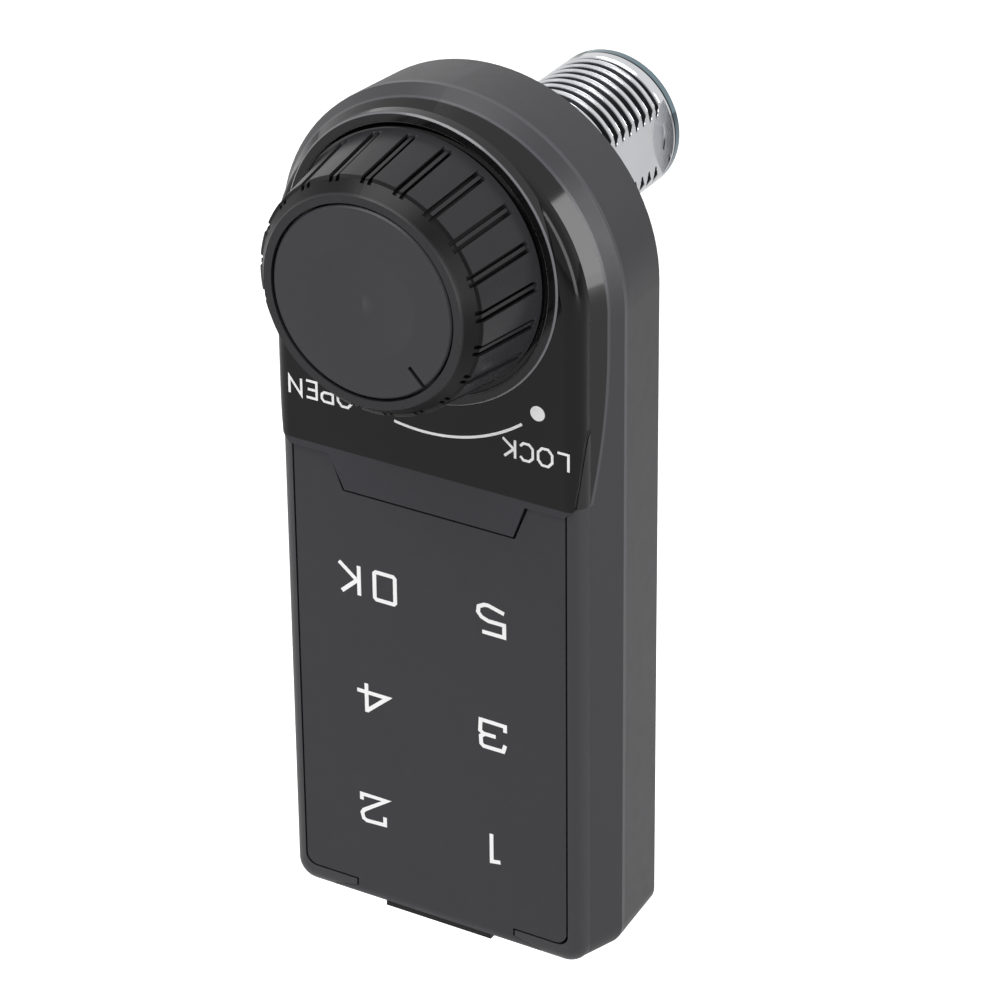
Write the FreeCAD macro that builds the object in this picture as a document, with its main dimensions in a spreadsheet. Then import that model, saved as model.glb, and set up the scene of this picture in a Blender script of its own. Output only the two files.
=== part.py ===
"""Electronic locker lock: a turning knob and a touch keypad on a slim housing, with a threaded barrel behind.

Row frame: the origin is on the barrel's axis, in the housing's back face. +Y runs along the barrel into the
locker door, +X is to the right seen from the front and +Z is up. Distances called "ahead" are measured from
the back face towards the front, which is along -Y.
"""
import FreeCAD, Part
import os
import Sketcher
from math import atan2, cos, radians, sin, sqrt
from types import SimpleNamespace

Vector = FreeCAD.Vector
doc = FreeCAD.newDocument("locker_lock")

# Driving sizes, in millimetres and degrees
SIZES = {
    # housing
    "body_width": 48.4,
    "body_drop": 95.15,
    "head_drop": 4.15,
    "bottom_corner": 3.8,
    "housing_depth": 16.4,
    "ridge_ahead": 10.2,
    "ridge_band": 0.6,
    "shell_depth": 11.2,
    "side_wall": 2.75,
    "back_wall": 2.0,
    "back_draft": 4.2,
    "skirt_lean": 2.4,
    "crease_ahead": 14.2,
    "crease_corner": 3.0,
    "foot_rise": 0.45,
    "edge_round": 2.15,
    "back_bevel": 0.5,
    "cover_wall": 3.35,
    "head_wall": 1.1,
    # glossy head fascia
    "fascia_rise": 0.6,
    "fascia_over": 0.3,
    "fascia_waist": 8.0,
    "fascia_lean": 1.25,
    "fascia_foot_drop": 28.8,
    "fascia_slope_drop": 28.95,
    "seam_gap": 0.25,
    "seat_gap": 0.05,
    # keypad cover and its electronics
    "keypad_half": 19.65,
    "keypad_thick": 1.5,
    "keypad_corner": 1.6,
    "keypad_drop": 92.5,
    "shoulder_drop": 30.1,
    "shoulder_half": 14.2,
    "tab_drop": 34.95,
    "tab_half": 12.3,
    "tongue_half": 11.8,
    "tongue_flare": 3.6,
    "tongue_bend": 1.0,
    "tongue_depth": 2.0,
    "lip_half": 7.9,
    "lip_hang": 0.15,
    "lip_set_back": 0.7,
    "lip_thick": 0.95,
    "lip_root": 1.9,
    "pad_side": 9.6,
    "pad_thick": 0.3,
    "key_across": 17.84,
    "key_pitch": 16.73,
    "first_key_drop": 47.75,
    "touch_board_half": 18.0,
    "touch_board_top": 37.0,
    "touch_board_drop": 87.4,
    "touch_board_thick": 1.0,
    "stake_radius": 0.9,
    "stake_side_inset": 2.2,
    "stake_end_inset": 3.0,
    # knob
    "knob_gap": 0.3,
    "knob_length": 13.0,
    "knob_base": 17.0,
    "knob_front": 15.5,
    "knob_rim": 13.7,
    "panel_start": 2.1,
    "panel_step": 0.45,
    "panel_count": 21,
    "groove_width": 1.5,
    "groove_deep": 0.75,
    "ridge_width": 0.45,
    "ridge_drop": 0.2,
    "ridge_cut_past": 0.1,
    "groove_start": 1.2,
    "groove_run": 0.6,
    "groove_run_rise": 0.4,
    "panel_lip": 0.25,
    "rim_bevel": 0.5,
    "rim_bevel_out": 0.35,
    "cap_radius": 12.35,
    "cap_gap": 0.3,
    "cap_thick": 1.3,
    "cap_bevel": 0.25,
    "cap_screw_gap": 0.2,
    "dimple_radius": 7.2,
    "dimple_deep": 0.3,
    "index_angle": 46.5,
    "index_width": 0.55,
    "index_length": 3.0,
    "knob_shell": 1.6,
    "hub_radius": 6.0,
    "hub_set_back": 0.8,
    "hub_bore_gap": 0.2,
    "hollow_set_back": 2.2,
    "hollow_corner": 1.2,
    "web_thick": 0.9,
    "ring_inner": 17.6,
    "ring_outer": 19.0,
    "ring_proud": 0.25,
    # rotor and barrel
    "barrel_radius": 9.5,
    "barrel_length": 30.7,
    "barrel_flats": 16.0,
    "barrel_chamfer": 0.7,
    "collar_length": 2.2,
    "hole_gap": 0.1,
    "flange_radius": 13.0,
    "flange_thick": 2.0,
    "flange_screw_radius": 11.2,
    "journal_radius": 6.5,
    "running_gap": 0.05,
    "front_journal": 3.9,
    "knob_square": 5.4,
    "square_foot_gap": 0.2,
    "square_end_gap": 0.2,
    "disc_square": 8.0,
    "tail_square": 7.0,
    "tail_length": 4.0,
    "tail_gap": 0.3,
    "cam_screw_radius": 2.0,
    "cam_screw_length": 8.0,
    "circlip_width": 0.9,
    "circlip_radius": 7.9,
    "circlip_groove": 5.7,
    "circlip_mouth": 3.2,
    "counterbore_radius": 8.2,
    "counterbore_deep": 2.4,
    "bush_radius": 6.0,
    "bush_flange": 8.0,
    "bush_flange_thick": 1.0,
    # blocking disc, lock pin and its drive
    "disc_radius": 11.5,
    "disc_thick": 2.2,
    "disc_ahead": 6.8,
    "spacer_wall": 1.6,
    "spacer_gap": 0.2,
    "notch_width": 3.4,
    "notch_deep": 3.4,
    "stop_radius": 1.0,
    "stop_circle": 7.9,
    "stop_proud": 0.6,
    "stop_gap": 0.02,
    "slot_gap": 0.2,
    "pin_width": 3.0,
    "pin_thick": 3.4,
    "pin_top": 12.0,
    "pin_length": 5.6,
    "pin_travel": 3.0,
    "nut_width": 6.0,
    "nut_thick": 4.4,
    "nut_length": 5.0,
    "drive_ahead": 7.9,
    "screw_radius": 1.0,
    "screw_tip_drop": 4.0,
    "screw_tip_gap": 0.7,
    "screw_in_motor": 2.0,
    "end_gap": 0.2,
    "guide_gap": 0.1,
    "guide_wall": 1.2,
    "guide_top": 13.3,
    "guide_motor_gap": 0.3,
    "ear_thick": 1.5,
    "ear_half": 9.6,
    "ear_reach": 3.0,
    "ear_drop": 24.0,
    "ear_across": 7.0,
    "motor_top": 28.0,
    "motor_length": 12.0,
    "motor_width": 10.0,
    "motor_thick": 8.0,
    "cradle_inset": 1.0,
    "strap_thick": 0.9,
    "strap_width": 5.0,
    "strap_gap": 0.1,
    # batteries
    "cell_radius": 5.25,
    "cell_length": 44.5,
    "cell_nub_radius": 1.9,
    "cell_nub_length": 1.1,
    "cell_pitch": 11.6,
    "cell_centre": 7.5,
    "cell_ahead": 7.8,
    "cell_top": 43.2,
    "cell_gap": 0.25,
    "tray_wall": 1.0,
    "tray_floor": 0.5,
    "tray_deep": 6.6,
    "contact_space": 1.9,
    "contact_thick": 0.4,
    "contact_inset": 0.5,
    "contact_reach": 3.0,
    # control board
    "board_width": 15.2,
    "board_left": 5.3,
    "board_top": 44.0,
    "board_length": 46.0,
    "board_ahead": 5.0,
    "board_thick": 1.0,
    "post_radius": 2.0,
    "board_screw_inset": 3.0,
    "chip_side": 7.0,
    "chip_small_side": 3.8,
    "chip_height": 1.1,
    "chip_large_down": 20.7,
    "chip_small_down": 19.78,
    "chip_driver_down": 38.64,
    "buzzer_down": 32.2,
    "header_down": 10.12,
    "buzzer_radius": 4.4,
    "buzzer_height": 3.8,
    "header_length": 11.0,
    "header_width": 3.0,
    "header_height": 4.5,
    "header_pitch": 2.5,
    "sprung_pin_radius": 0.5,
    "sprung_gap": 0.3,
    # screws
    "boss_radius": 2.5,
    "boss_split": 7.0,
    "head_boss_across": 14.9,
    "head_boss_up": 7.2,
    "waist_boss_across": 17.6,
    "waist_boss_drop": 26.5,
    "screw_shank": 1.1,
    "screw_head": 2.1,
    "screw_head_thick": 1.4,
    "screw_gap": 0.03,
    "screw_clear": 0.15,
    "head_clear": 0.3,
    "tip_clear": 0.1,
    "sink_clear": 0.2,
    "pilot_skin": 0.5,
    "case_screw_length": 9.5,
    "guide_screw_length": 2.6,
    "strap_screw_length": 2.1,
    "board_screw_length": 3.4,
    "knob_screw_reach": 5.0,
    "knob_screw_hole": 7.0,
}

sheet = doc.addObject("Spreadsheet::Sheet", "Sizes")
for row, (alias, number) in enumerate(SIZES.items(), start=1):
    sheet.set(f"A{row}", alias)
    sheet.set(f"B{row}", str(number))
    sheet.setAlias(f"B{row}", alias)
doc.recompute()


class Size:
    """A length or an angle: its value now, and the expression on the sheet that it comes from."""

    def __init__(self, text, value):
        self.text = text
        self.value = value

    def __add__(self, other):
        other = size_of(other)
        return Size(f"({self.text} + {other.text})", self.value + other.value)

    def __sub__(self, other):
        other = size_of(other)
        return Size(f"({self.text} - {other.text})", self.value - other.value)

    def __mul__(self, other):
        other = size_of(other)
        return Size(f"({self.text} * {other.text})", self.value * other.value)

    def __truediv__(self, other):
        other = size_of(other)
        return Size(f"({self.text} / {other.text})", self.value / other.value)

    def __neg__(self):
        return Size(f"(-1 * {self.text})", -self.value)

    def __radd__(self, other):
        return size_of(other) + self

    def __rsub__(self, other):
        return size_of(other) - self

    def __rmul__(self, other):
        return size_of(other) * self


def size_of(number):
    """Returns a Size as it is, and a plain number as a Size."""
    if isinstance(number, Size):
        return number
    return Size(str(float(number)), float(number))


def cosine(angle):
    return Size(f"cos({angle.text})", cos(radians(angle.value)))


def sine(angle):
    return Size(f"sin({angle.text})", sin(radians(angle.value)))


# How far a cutter passes what it cuts, how far it stands outside, and how far fused pieces overlap
CUT_PAST = 1.0
CUT_AROUND = 10.0
SUNK = 0.2

FLANGE_SCREWS = 4
FIRST_FLANGE_SCREW = 45
HEADER_PINS = 4

s = SimpleNamespace(**{alias: Size(f"Sizes.{alias}", float(sheet.get(alias))) for alias in SIZES})
ZERO = size_of(0)
NODES = []


def bind(thing, prop, size):
    """Ties one property of an object to the sheet."""
    thing.setExpression(prop, size_of(size).text)


def node(thing, label):
    """Marks an object as a finished piece of the lock."""
    thing.Label = label
    NODES.append(thing)
    return thing


# Part primitives, placed in the row frame

def box(name, low, extent):
    """A block from its low corner, with its sizes along X, Y and Z."""
    block = doc.addObject("Part::Box", name)
    for prop, size in zip(("Length", "Width", "Height"), extent):
        bind(block, prop, size)
    for axis, size in zip("xyz", low):
        bind(block, f"Placement.Base.{axis}", size)
    return block


def slab(name, centre_x, width, rear, front, low_z, high_z):
    """A block between two distances ahead of the back face and two heights."""
    half = size_of(width) / 2
    low = (centre_x - half, -size_of(front), low_z)
    return box(name, low, (width, size_of(front) - rear, size_of(high_z) - low_z))


def rod(name, radius, rear, front, x=ZERO, z=ZERO):
    """A cylinder along Y, between two distances ahead of the back face."""
    cylinder = doc.addObject("Part::Cylinder", name)
    cylinder.Placement.Rotation = FreeCAD.Rotation(Vector(1, 0, 0), -90)
    bind(cylinder, "Radius", radius)
    bind(cylinder, "Height", size_of(front) - rear)
    bind(cylinder, "Placement.Base.x", x)
    bind(cylinder, "Placement.Base.y", -size_of(front))
    bind(cylinder, "Placement.Base.z", z)
    return cylinder


def post(name, radius, low_z, high_z, x, ahead):
    """A cylinder along Z."""
    cylinder = doc.addObject("Part::Cylinder", name)
    bind(cylinder, "Radius", radius)
    bind(cylinder, "Height", size_of(high_z) - low_z)
    bind(cylinder, "Placement.Base.x", x)
    bind(cylinder, "Placement.Base.y", -size_of(ahead))
    bind(cylinder, "Placement.Base.z", low_z)
    return cylinder


def fuse(name, pieces):
    """One solid, or a group of separate ones, from several."""
    union = doc.addObject("Part::MultiFuse", name)
    union.Shapes = pieces
    union.Refine = True
    return union


def cut(name, base, tools):
    """The base less one tool or several."""
    difference = doc.addObject("Part::Cut", name)
    difference.Base = base
    difference.Tool = tools[0] if len(tools) == 1 else fuse(f"{name}_tools", tools)
    difference.Refine = True
    return difference


# PartDesign bodies, sketches and features

def body(name):
    return doc.addObject("PartDesign::Body", name)


def origin_item(owner, role):
    return next(item for item in owner.Origin.OriginFeatures if item.Role == role)


def sketch(owner, name, role, lift=None):
    """A sketch on one of the body's own planes, lifted along the plane's normal."""
    drawing = owner.newObject("Sketcher::SketchObject", name)
    drawing.AttachmentSupport = (origin_item(owner, role), [""])
    drawing.MapMode = "FlatFace"
    if lift is not None:
        bind(drawing, "AttachmentOffset.Base.z", lift)
    return drawing


def front_sketch(owner, name, ahead):
    """A sketch seen from the front, at a distance ahead of the back face."""
    return sketch(owner, name, "XZ_Plane", ahead)


def pin_point(drawing, geometry, position, across, up):
    """Fixes one point of a sketch with two dimensions from its origin."""
    for kind, size in (("DistanceX", across), ("DistanceY", up)):
        size = size_of(size)
        number = drawing.addConstraint(Sketcher.Constraint(kind, -1, 1, geometry, position, size.value))
        drawing.setExpression(f"Constraints[{number}]", size.text)


def outline(drawing, corners):
    """A closed outline, counter-clockwise. A corner is (across, up), and with a third and a fourth value the
    side that arrives at it is an arc of that radius, turning left (1) or right (-1)."""
    points = [Vector(size_of(c[0]).value, size_of(c[1]).value, 0) for c in corners]
    ends = []
    for index, corner in enumerate(corners):
        start = points[index - 1]
        finish = points[index]
        if len(corner) == 2:
            number = drawing.addGeometry(Part.LineSegment(start, finish), False)
            ends.append((number, 1, 2))
            continue
        radius = size_of(corner[2])
        turn = corner[3]
        chord = finish - start
        reach = sqrt(max(radius.value ** 2 - (chord.Length / 2) ** 2, 0))
        left = Vector(-chord.y, chord.x, 0).normalize()
        centre = (start + finish) * 0.5 + left * (turn * reach)
        angles = [atan2(p.y - centre.y, p.x - centre.x) for p in (start, finish)]
        if turn < 0:
            angles.reverse()
        circle = Part.Circle(centre, Vector(0, 0, 1), radius.value)
        number = drawing.addGeometry(Part.ArcOfCircle(circle, angles[0], angles[1]), False)
        constraint = drawing.addConstraint(Sketcher.Constraint("Radius", number, radius.value))
        drawing.setExpression(f"Constraints[{constraint}]", radius.text)
        ends.append((number, 1, 2) if turn > 0 else (number, 2, 1))
    for index, (number, first, last) in enumerate(ends):
        following = ends[(index + 1) % len(ends)]
        drawing.addConstraint(Sketcher.Constraint("Coincident", number, last, following[0], following[1]))
    for (number, first, last), corner in zip(ends, corners):
        pin_point(drawing, number, last, corner[0], corner[1])
    return drawing


def ring(drawing, across, up, radius):
    """A circle in a sketch."""
    across, up, radius = size_of(across), size_of(up), size_of(radius)
    circle = Part.Circle(Vector(across.value, up.value, 0), Vector(0, 0, 1), radius.value)
    number = drawing.addGeometry(circle, False)
    constraint = drawing.addConstraint(Sketcher.Constraint("Radius", number, radius.value))
    drawing.setExpression(f"Constraints[{constraint}]", radius.text)
    pin_point(drawing, number, 3, across, up)
    return drawing


def pad(owner, name, drawing, length, backward=False, taper=None):
    """Adds material in front of a front sketch, or behind it."""
    feature = owner.newObject("PartDesign::Pad", name)
    feature.Profile = drawing
    feature.Reversed = backward
    bind(feature, "Length", length)
    if taper is not None:
        bind(feature, "TaperAngle", -taper)
    return feature


def pocket(owner, name, drawing, length, forward=False, both=False):
    """Cuts behind a front sketch, or ahead of it, or evenly both ways."""
    feature = owner.newObject("PartDesign::Pocket", name)
    feature.Profile = drawing
    feature.Reversed = forward
    if both:
        feature.SideType = "Symmetric"
    bind(feature, "Length", length)
    return feature


def turned(name, corners):
    """A piece turned about the Y axis, from (distance ahead, radius) corners."""
    owner = body(name)
    drawing = sketch(owner, f"{name}_section", "YZ_Plane")
    outline(drawing, [(-size_of(corner[0]),) + tuple(corner[1:]) for corner in corners])
    feature = owner.newObject("PartDesign::Revolution", f"{name}_turned")
    feature.Profile = drawing
    feature.ReferenceAxis = (drawing, ["H_Axis"])
    feature.Angle = 360
    return owner


def polar(owner, name, features, count):
    """Repeats features about the Y axis."""
    pattern = owner.newObject("PartDesign::PolarPattern", name)
    pattern.Originals = features
    pattern.Axis = (origin_item(owner, "Y_Axis"), [""])
    pattern.Angle = 360
    bind(pattern, "Occurrences", count)
    owner.Tip = pattern
    return pattern


def round_edges(owner, name, base, radius, chosen, kind="Fillet"):
    """Rounds or bevels the edges of a feature that a test picks out."""
    doc.recompute()
    names = [f"Edge{index}" for index, edge in enumerate(base.Shape.Edges, start=1) if chosen(edge)]
    feature = owner.newObject(f"PartDesign::{kind}", name)
    feature.Base = (base, names)
    bind(feature, "Radius" if kind == "Fillet" else "Size", radius)
    return feature


def lies_at(ahead):
    """A test for edges that lie all in one plane, at a distance ahead of the back face."""
    level = -size_of(ahead).value
    return lambda edge: abs(edge.BoundBox.YMin - level) < 1e-3 and abs(edge.BoundBox.YMax - level) < 1e-3


# Shared outlines, seen from the front

half_width = s.body_width / 2
crease_half = half_width - s.skirt_lean


def body_outline(inset):
    """The housing's outline at its ridge, drawn in by an inset."""
    return round_headed(half_width - inset, s.bottom_corner - inset, s.body_drop - inset)


def crease_outline():
    """The outline of the raised front, where it stands on the sloping skirt."""
    return round_headed(crease_half, s.crease_corner, s.body_drop + s.foot_rise)


def round_headed(half, corner, floor):
    """A round head on straight sides, with round bottom corners."""
    return [
        (half, -s.head_drop),
        (ZERO, half - s.head_drop, half, 1),
        (-half, -s.head_drop, half, 1),
        (-half, corner - floor),
        (corner - half, -floor, corner, 1),
        (half - corner, -floor),
        (half, corner - floor, corner, 1),
    ]


def fascia_outline(shrink):
    """The head fascia: the head's arc, sides that curve in to the keypad, and the tab at its foot."""
    head = crease_half + s.fascia_over - shrink
    foot = head - s.fascia_lean
    foot_drop = s.fascia_foot_drop
    lean = s.fascia_lean
    run = foot_drop - s.fascia_waist
    bend = (lean * lean + run * run) / (2 * lean)
    seam = s.seam_gap / 2
    shoulder = s.shoulder_drop - seam - shrink
    key_edge = s.keypad_half - shrink
    tab_top = s.shoulder_half - seam - shrink
    tab_end = s.tab_half - seam - shrink
    tab_foot = s.tab_drop - seam - shrink
    return [
        (head, -s.head_drop),
        (ZERO, head - s.head_drop, head, 1),
        (-head, -s.head_drop, head, 1),
        (-head, -s.fascia_waist),
        (-foot, -foot_drop, bend, 1),
        (-key_edge, -shoulder),
        (-tab_top, -shoulder),
        (-tab_end, -tab_foot),
        (tab_end, -tab_foot),
        (tab_top, -shoulder),
        (key_edge, -shoulder),
        (foot, -foot_drop),
        (head, -s.fascia_waist, bend, 1),
    ]


def keypad_outline(grow, floor, foot=()):
    """The keypad cover above the given floor, with shoulders beside the fascia's tab. A foot's corners, from
    left to right, go into its bottom side."""
    gap = s.seam_gap / 2 - grow
    side = s.keypad_half - gap
    shoulder = s.shoulder_drop + gap
    tab_top = s.shoulder_half + gap
    tab_end = s.tab_half + gap
    tab_foot = s.tab_drop + gap
    corner = s.keypad_corner
    return [
        (side, -shoulder),
        (tab_top, -shoulder),
        (tab_end, -tab_foot),
        (-tab_end, -tab_foot),
        (-tab_top, -shoulder),
        (-side, -shoulder),
        (-side, corner - floor),
        (corner - side, -floor, corner, 1),
        *foot,
        (side - corner, -floor),
        (side, corner - floor, corner, 1),
    ]


below = -s.body_drop - s.foot_rise - 2 * CUT_PAST


def tongue_sides(grow):
    """The right side of the keypad cover's tongue, from its root down: it flares towards the bottom edge."""
    half = s.tongue_half - s.seam_gap / 2 + grow
    root = -s.keypad_drop - s.tongue_bend
    return [(half, root), (half + s.tongue_flare, root - s.tongue_bend), (half + s.tongue_flare, below)]


def tongue_outline(grow):
    """The keypad cover's tongue, from inside the cover to past the housing's bottom."""
    right = tongue_sides(grow)
    high = s.keypad_corner - s.keypad_drop
    left = [(-x, z) for x, z in right]
    return [(right[0][0], high), (left[0][0], high)] + left + right[::-1]


def around(drawing):
    """A rectangle well outside the housing, for cuts that leave only what is inside an outline."""
    far = half_width + CUT_AROUND
    low = -s.body_drop - CUT_AROUND
    return outline(drawing, [(far, far), (-far, far), (-far, low), (far, low)])


def skirt(owner):
    """The skirt that slopes in from the ridge to the crease."""
    ridge = outline(front_sketch(owner, f"{owner.Name}_ridge", s.ridge_ahead), body_outline(ZERO))
    crease = outline(front_sketch(owner, f"{owner.Name}_crease", s.crease_ahead), crease_outline())
    slope = owner.newObject("PartDesign::AdditiveLoft", f"{owner.Name}_skirt")
    slope.Profile = ridge
    slope.Sections = [crease]
    slope.Ruled = True
    return slope


def front_form(owner, ahead):
    """The housing's front: the skirt, and on it the raised front with a rounded edge."""
    skirt(owner)
    plan = outline(front_sketch(owner, f"{owner.Name}_plan", s.crease_ahead), crease_outline())
    form = pad(owner, f"{owner.Name}_form", plan, ahead - s.crease_ahead)
    return round_edges(owner, f"{owner.Name}_round", form, s.edge_round, lies_at(ahead))


fascia_front = s.housing_depth + s.fascia_rise
fascia_seat = s.crease_ahead
fascia_thick = fascia_front - fascia_seat
head_inside = fascia_seat - s.head_wall
head_screws = [(s.head_boss_across, s.head_boss_up), (-s.head_boss_across, s.head_boss_up)]
waist_screws = [(s.waist_boss_across, -s.waist_boss_drop), (-s.waist_boss_across, -s.waist_boss_drop)]
case_screws = head_screws + waist_screws
key_places = [(side * s.key_across / 2, -s.first_key_drop - turn * s.key_pitch)
              for side in (-1, 1) for turn in (0, 1, 2)]
stake_heights = (s.touch_board_top + s.stake_end_inset, s.touch_board_drop - s.stake_end_inset)
stake_places = [(side * (s.touch_board_half - s.stake_side_inset), -height)
                for side in (-1, 1) for height in stake_heights]


def rear_housing():
    """The tray behind: back wall, side walls, screw bosses, posts for the board and the barrel's hole."""
    tray = body("rear_housing")
    skirt(tray)
    band = outline(front_sketch(tray, "tray_band", s.ridge_ahead), body_outline(ZERO))
    pad(tray, "tray_band_pad", band, s.ridge_band, backward=True)
    plan = outline(front_sketch(tray, "tray_plan", s.ridge_ahead - s.ridge_band), body_outline(ZERO))
    block = pad(tray, "tray_block", plan, s.ridge_ahead - s.ridge_band, backward=True, taper=s.back_draft)
    round_edges(tray, "tray_back_bevel", block, s.back_bevel, lies_at(ZERO), "Chamfer")
    beyond = around(front_sketch(tray, "tray_beyond", s.shell_depth))
    pocket(tray, "tray_beyond_cut", beyond, s.housing_depth - s.shell_depth, forward=True)
    inside = outline(front_sketch(tray, "tray_inside", s.shell_depth), body_outline(s.side_wall))
    pocket(tray, "tray_cavity", inside, s.shell_depth - s.back_wall)
    bosses = front_sketch(tray, "tray_bosses", s.back_wall)
    for x, z in case_screws:
        ring(bosses, x, z, s.boss_radius)
    pad(tray, "tray_boss_pads", bosses, s.boss_split - s.back_wall)
    posts = front_sketch(tray, "tray_posts", s.back_wall)
    for x, z in board_screw_places():
        ring(posts, x, z, s.post_radius)
    pad(tray, "tray_post_pads", posts, s.board_ahead - s.back_wall)
    cradle = front_sketch(tray, "tray_cradle", s.back_wall)
    side = s.motor_width / 2 - s.cradle_inset
    top = -s.motor_top - s.cradle_inset
    low = s.cradle_inset - s.motor_top - s.motor_length
    outline(cradle, [(side, top), (-side, top), (-side, low), (side, low)])
    pad(tray, "tray_cradle_pad", cradle, s.drive_ahead - s.motor_thick / 2 - s.back_wall)
    holes = front_sketch(tray, "tray_holes", s.shell_depth)
    ring(holes, ZERO, ZERO, s.barrel_radius + s.hole_gap)
    for x, z in case_screws:
        ring(holes, x, z, s.screw_shank + s.screw_gap + s.screw_clear)
    pocket(tray, "tray_hole_cuts", holes, s.shell_depth)
    sinks = front_sketch(tray, "tray_sinks", ZERO)
    for x, z in case_screws:
        ring(sinks, x, z, s.screw_head + s.sink_clear)
    pocket(tray, "tray_sink_cuts", sinks, s.screw_head_thick, forward=True)
    pilots = front_sketch(tray, "tray_pilots", s.board_ahead)
    for x, z in board_screw_places():
        ring(pilots, x, z, s.screw_shank + s.screw_gap)
    pocket(tray, "tray_pilot_cuts", pilots, s.board_ahead - s.back_wall)
    wall_pilots = front_sketch(tray, "tray_wall_pilots", s.back_wall)
    for x, z in flange_screw_places() + ear_screw_places() + strap_screw_places():
        ring(wall_pilots, x, z, s.screw_shank + s.screw_gap)
    pocket(tray, "tray_wall_pilot_cuts", wall_pilots, s.back_wall - s.pilot_skin)
    return node(tray, "rear_housing")


def board_screw_places():
    """The two screws that hold the control board."""
    middle = s.board_left + s.board_width / 2
    inset = s.board_screw_inset
    return [(middle, -s.board_top - inset), (middle, inset - s.board_top - s.board_length)]


def front_cover():
    """The frame round the keypad and the wall behind the fascia, with the screws' bosses."""
    cover = body("front_cover")
    front_form(cover, s.housing_depth)
    behind = around(front_sketch(cover, "cover_behind", s.shell_depth))
    pocket(cover, "cover_behind_cut", behind, s.shell_depth)
    inside = outline(front_sketch(cover, "cover_inside", s.shell_depth), body_outline(s.cover_wall))
    pocket(cover, "cover_cavity", inside, head_inside - s.shell_depth, forward=True)
    seat = outline(front_sketch(cover, "cover_seat", fascia_seat), fascia_outline(-s.seat_gap))
    pocket(cover, "cover_seat_cut", seat, fascia_thick + CUT_PAST, forward=True)
    window = outline(front_sketch(cover, "cover_window", s.shell_depth),
                     keypad_outline(s.seam_gap, s.keypad_drop + s.seam_gap / 2))
    pocket(cover, "cover_window_cut", window, s.housing_depth, forward=True)
    tongue = outline(front_sketch(cover, "cover_tongue", s.housing_depth - s.tongue_depth),
                     tongue_outline(s.seam_gap))
    pocket(cover, "cover_tongue_cut", tongue, s.tongue_depth + CUT_PAST, forward=True)
    bosses = front_sketch(cover, "cover_bosses", head_inside)
    for x, z in case_screws:
        ring(bosses, x, z, s.boss_radius)
    pad(cover, "cover_boss_pads", bosses, head_inside - s.boss_split, backward=True)
    pilots = front_sketch(cover, "cover_pilots", s.boss_split)
    for x, z in case_screws:
        ring(pilots, x, z, s.screw_shank + s.screw_gap)
    pocket(cover, "cover_pilot_cuts", pilots, head_inside - s.boss_split, forward=True)
    hole = front_sketch(cover, "cover_hole", fascia_seat)
    ring(hole, ZERO, ZERO, s.bush_radius + s.seat_gap)
    pocket(cover, "cover_hole_cut", hole, s.head_wall)
    return node(cover, "front_cover")


def head_fascia():
    """The glossy plate on the head, standing a little proud and sloping down to the keypad."""
    plate = body("head_fascia")
    front_form(plate, fascia_front)
    trim = around(front_sketch(plate, "fascia_trim", fascia_front + CUT_PAST))
    outline(trim, fascia_outline(ZERO))
    pocket(plate, "fascia_trim_cut", trim, fascia_front)
    behind = around(front_sketch(plate, "fascia_behind", fascia_seat))
    pocket(plate, "fascia_behind_cut", behind, fascia_seat)
    slope = sketch(plate, "fascia_slope", "YZ_Plane")
    outline(slope, [
        (-fascia_front, -s.fascia_slope_drop),
        (-fascia_front - CUT_PAST, -s.fascia_slope_drop),
        (-fascia_front - CUT_PAST, -s.tab_drop - CUT_PAST),
        (-s.housing_depth, -s.tab_drop - CUT_PAST),
        (-s.housing_depth, -s.tab_drop),
    ])
    pocket(plate, "fascia_slope_cut", slope, s.body_width, both=True)
    holes = front_sketch(plate, "fascia_hole", fascia_front)
    ring(holes, ZERO, ZERO, s.bush_radius + s.seat_gap)
    pocket(plate, "fascia_hole_cut", holes, fascia_thick)
    groove = front_sketch(plate, "fascia_groove", fascia_front)
    ring(groove, ZERO, ZERO, s.ring_outer + s.seat_gap)
    ring(groove, ZERO, ZERO, s.ring_inner - s.seat_gap)
    pocket(plate, "fascia_groove_cut", groove, fascia_thick / 2)
    return node(plate, "head_fascia")


def trim_ring():
    """The bright-edged ring round the foot of the knob."""
    floor = fascia_front - fascia_thick / 2
    top = fascia_front + s.ring_proud
    bevel = s.ring_proud
    return node(turned("trim_ring", [
        (floor, s.ring_inner),
        (floor, s.ring_outer),
        (top - bevel, s.ring_outer),
        (top, s.ring_outer - bevel),
        (top, s.ring_inner + bevel),
        (top - bevel, s.ring_inner),
    ]), "trim_ring")


knob_foot = fascia_front + s.knob_gap
knob_face = knob_foot + s.knob_length
panel_edge = knob_face - s.panel_start
cap_floor = knob_face - s.cap_thick
hub_foot = knob_foot + s.hub_set_back
knob_web = cap_floor - s.screw_head_thick - s.web_thick - s.cap_screw_gap


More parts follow.
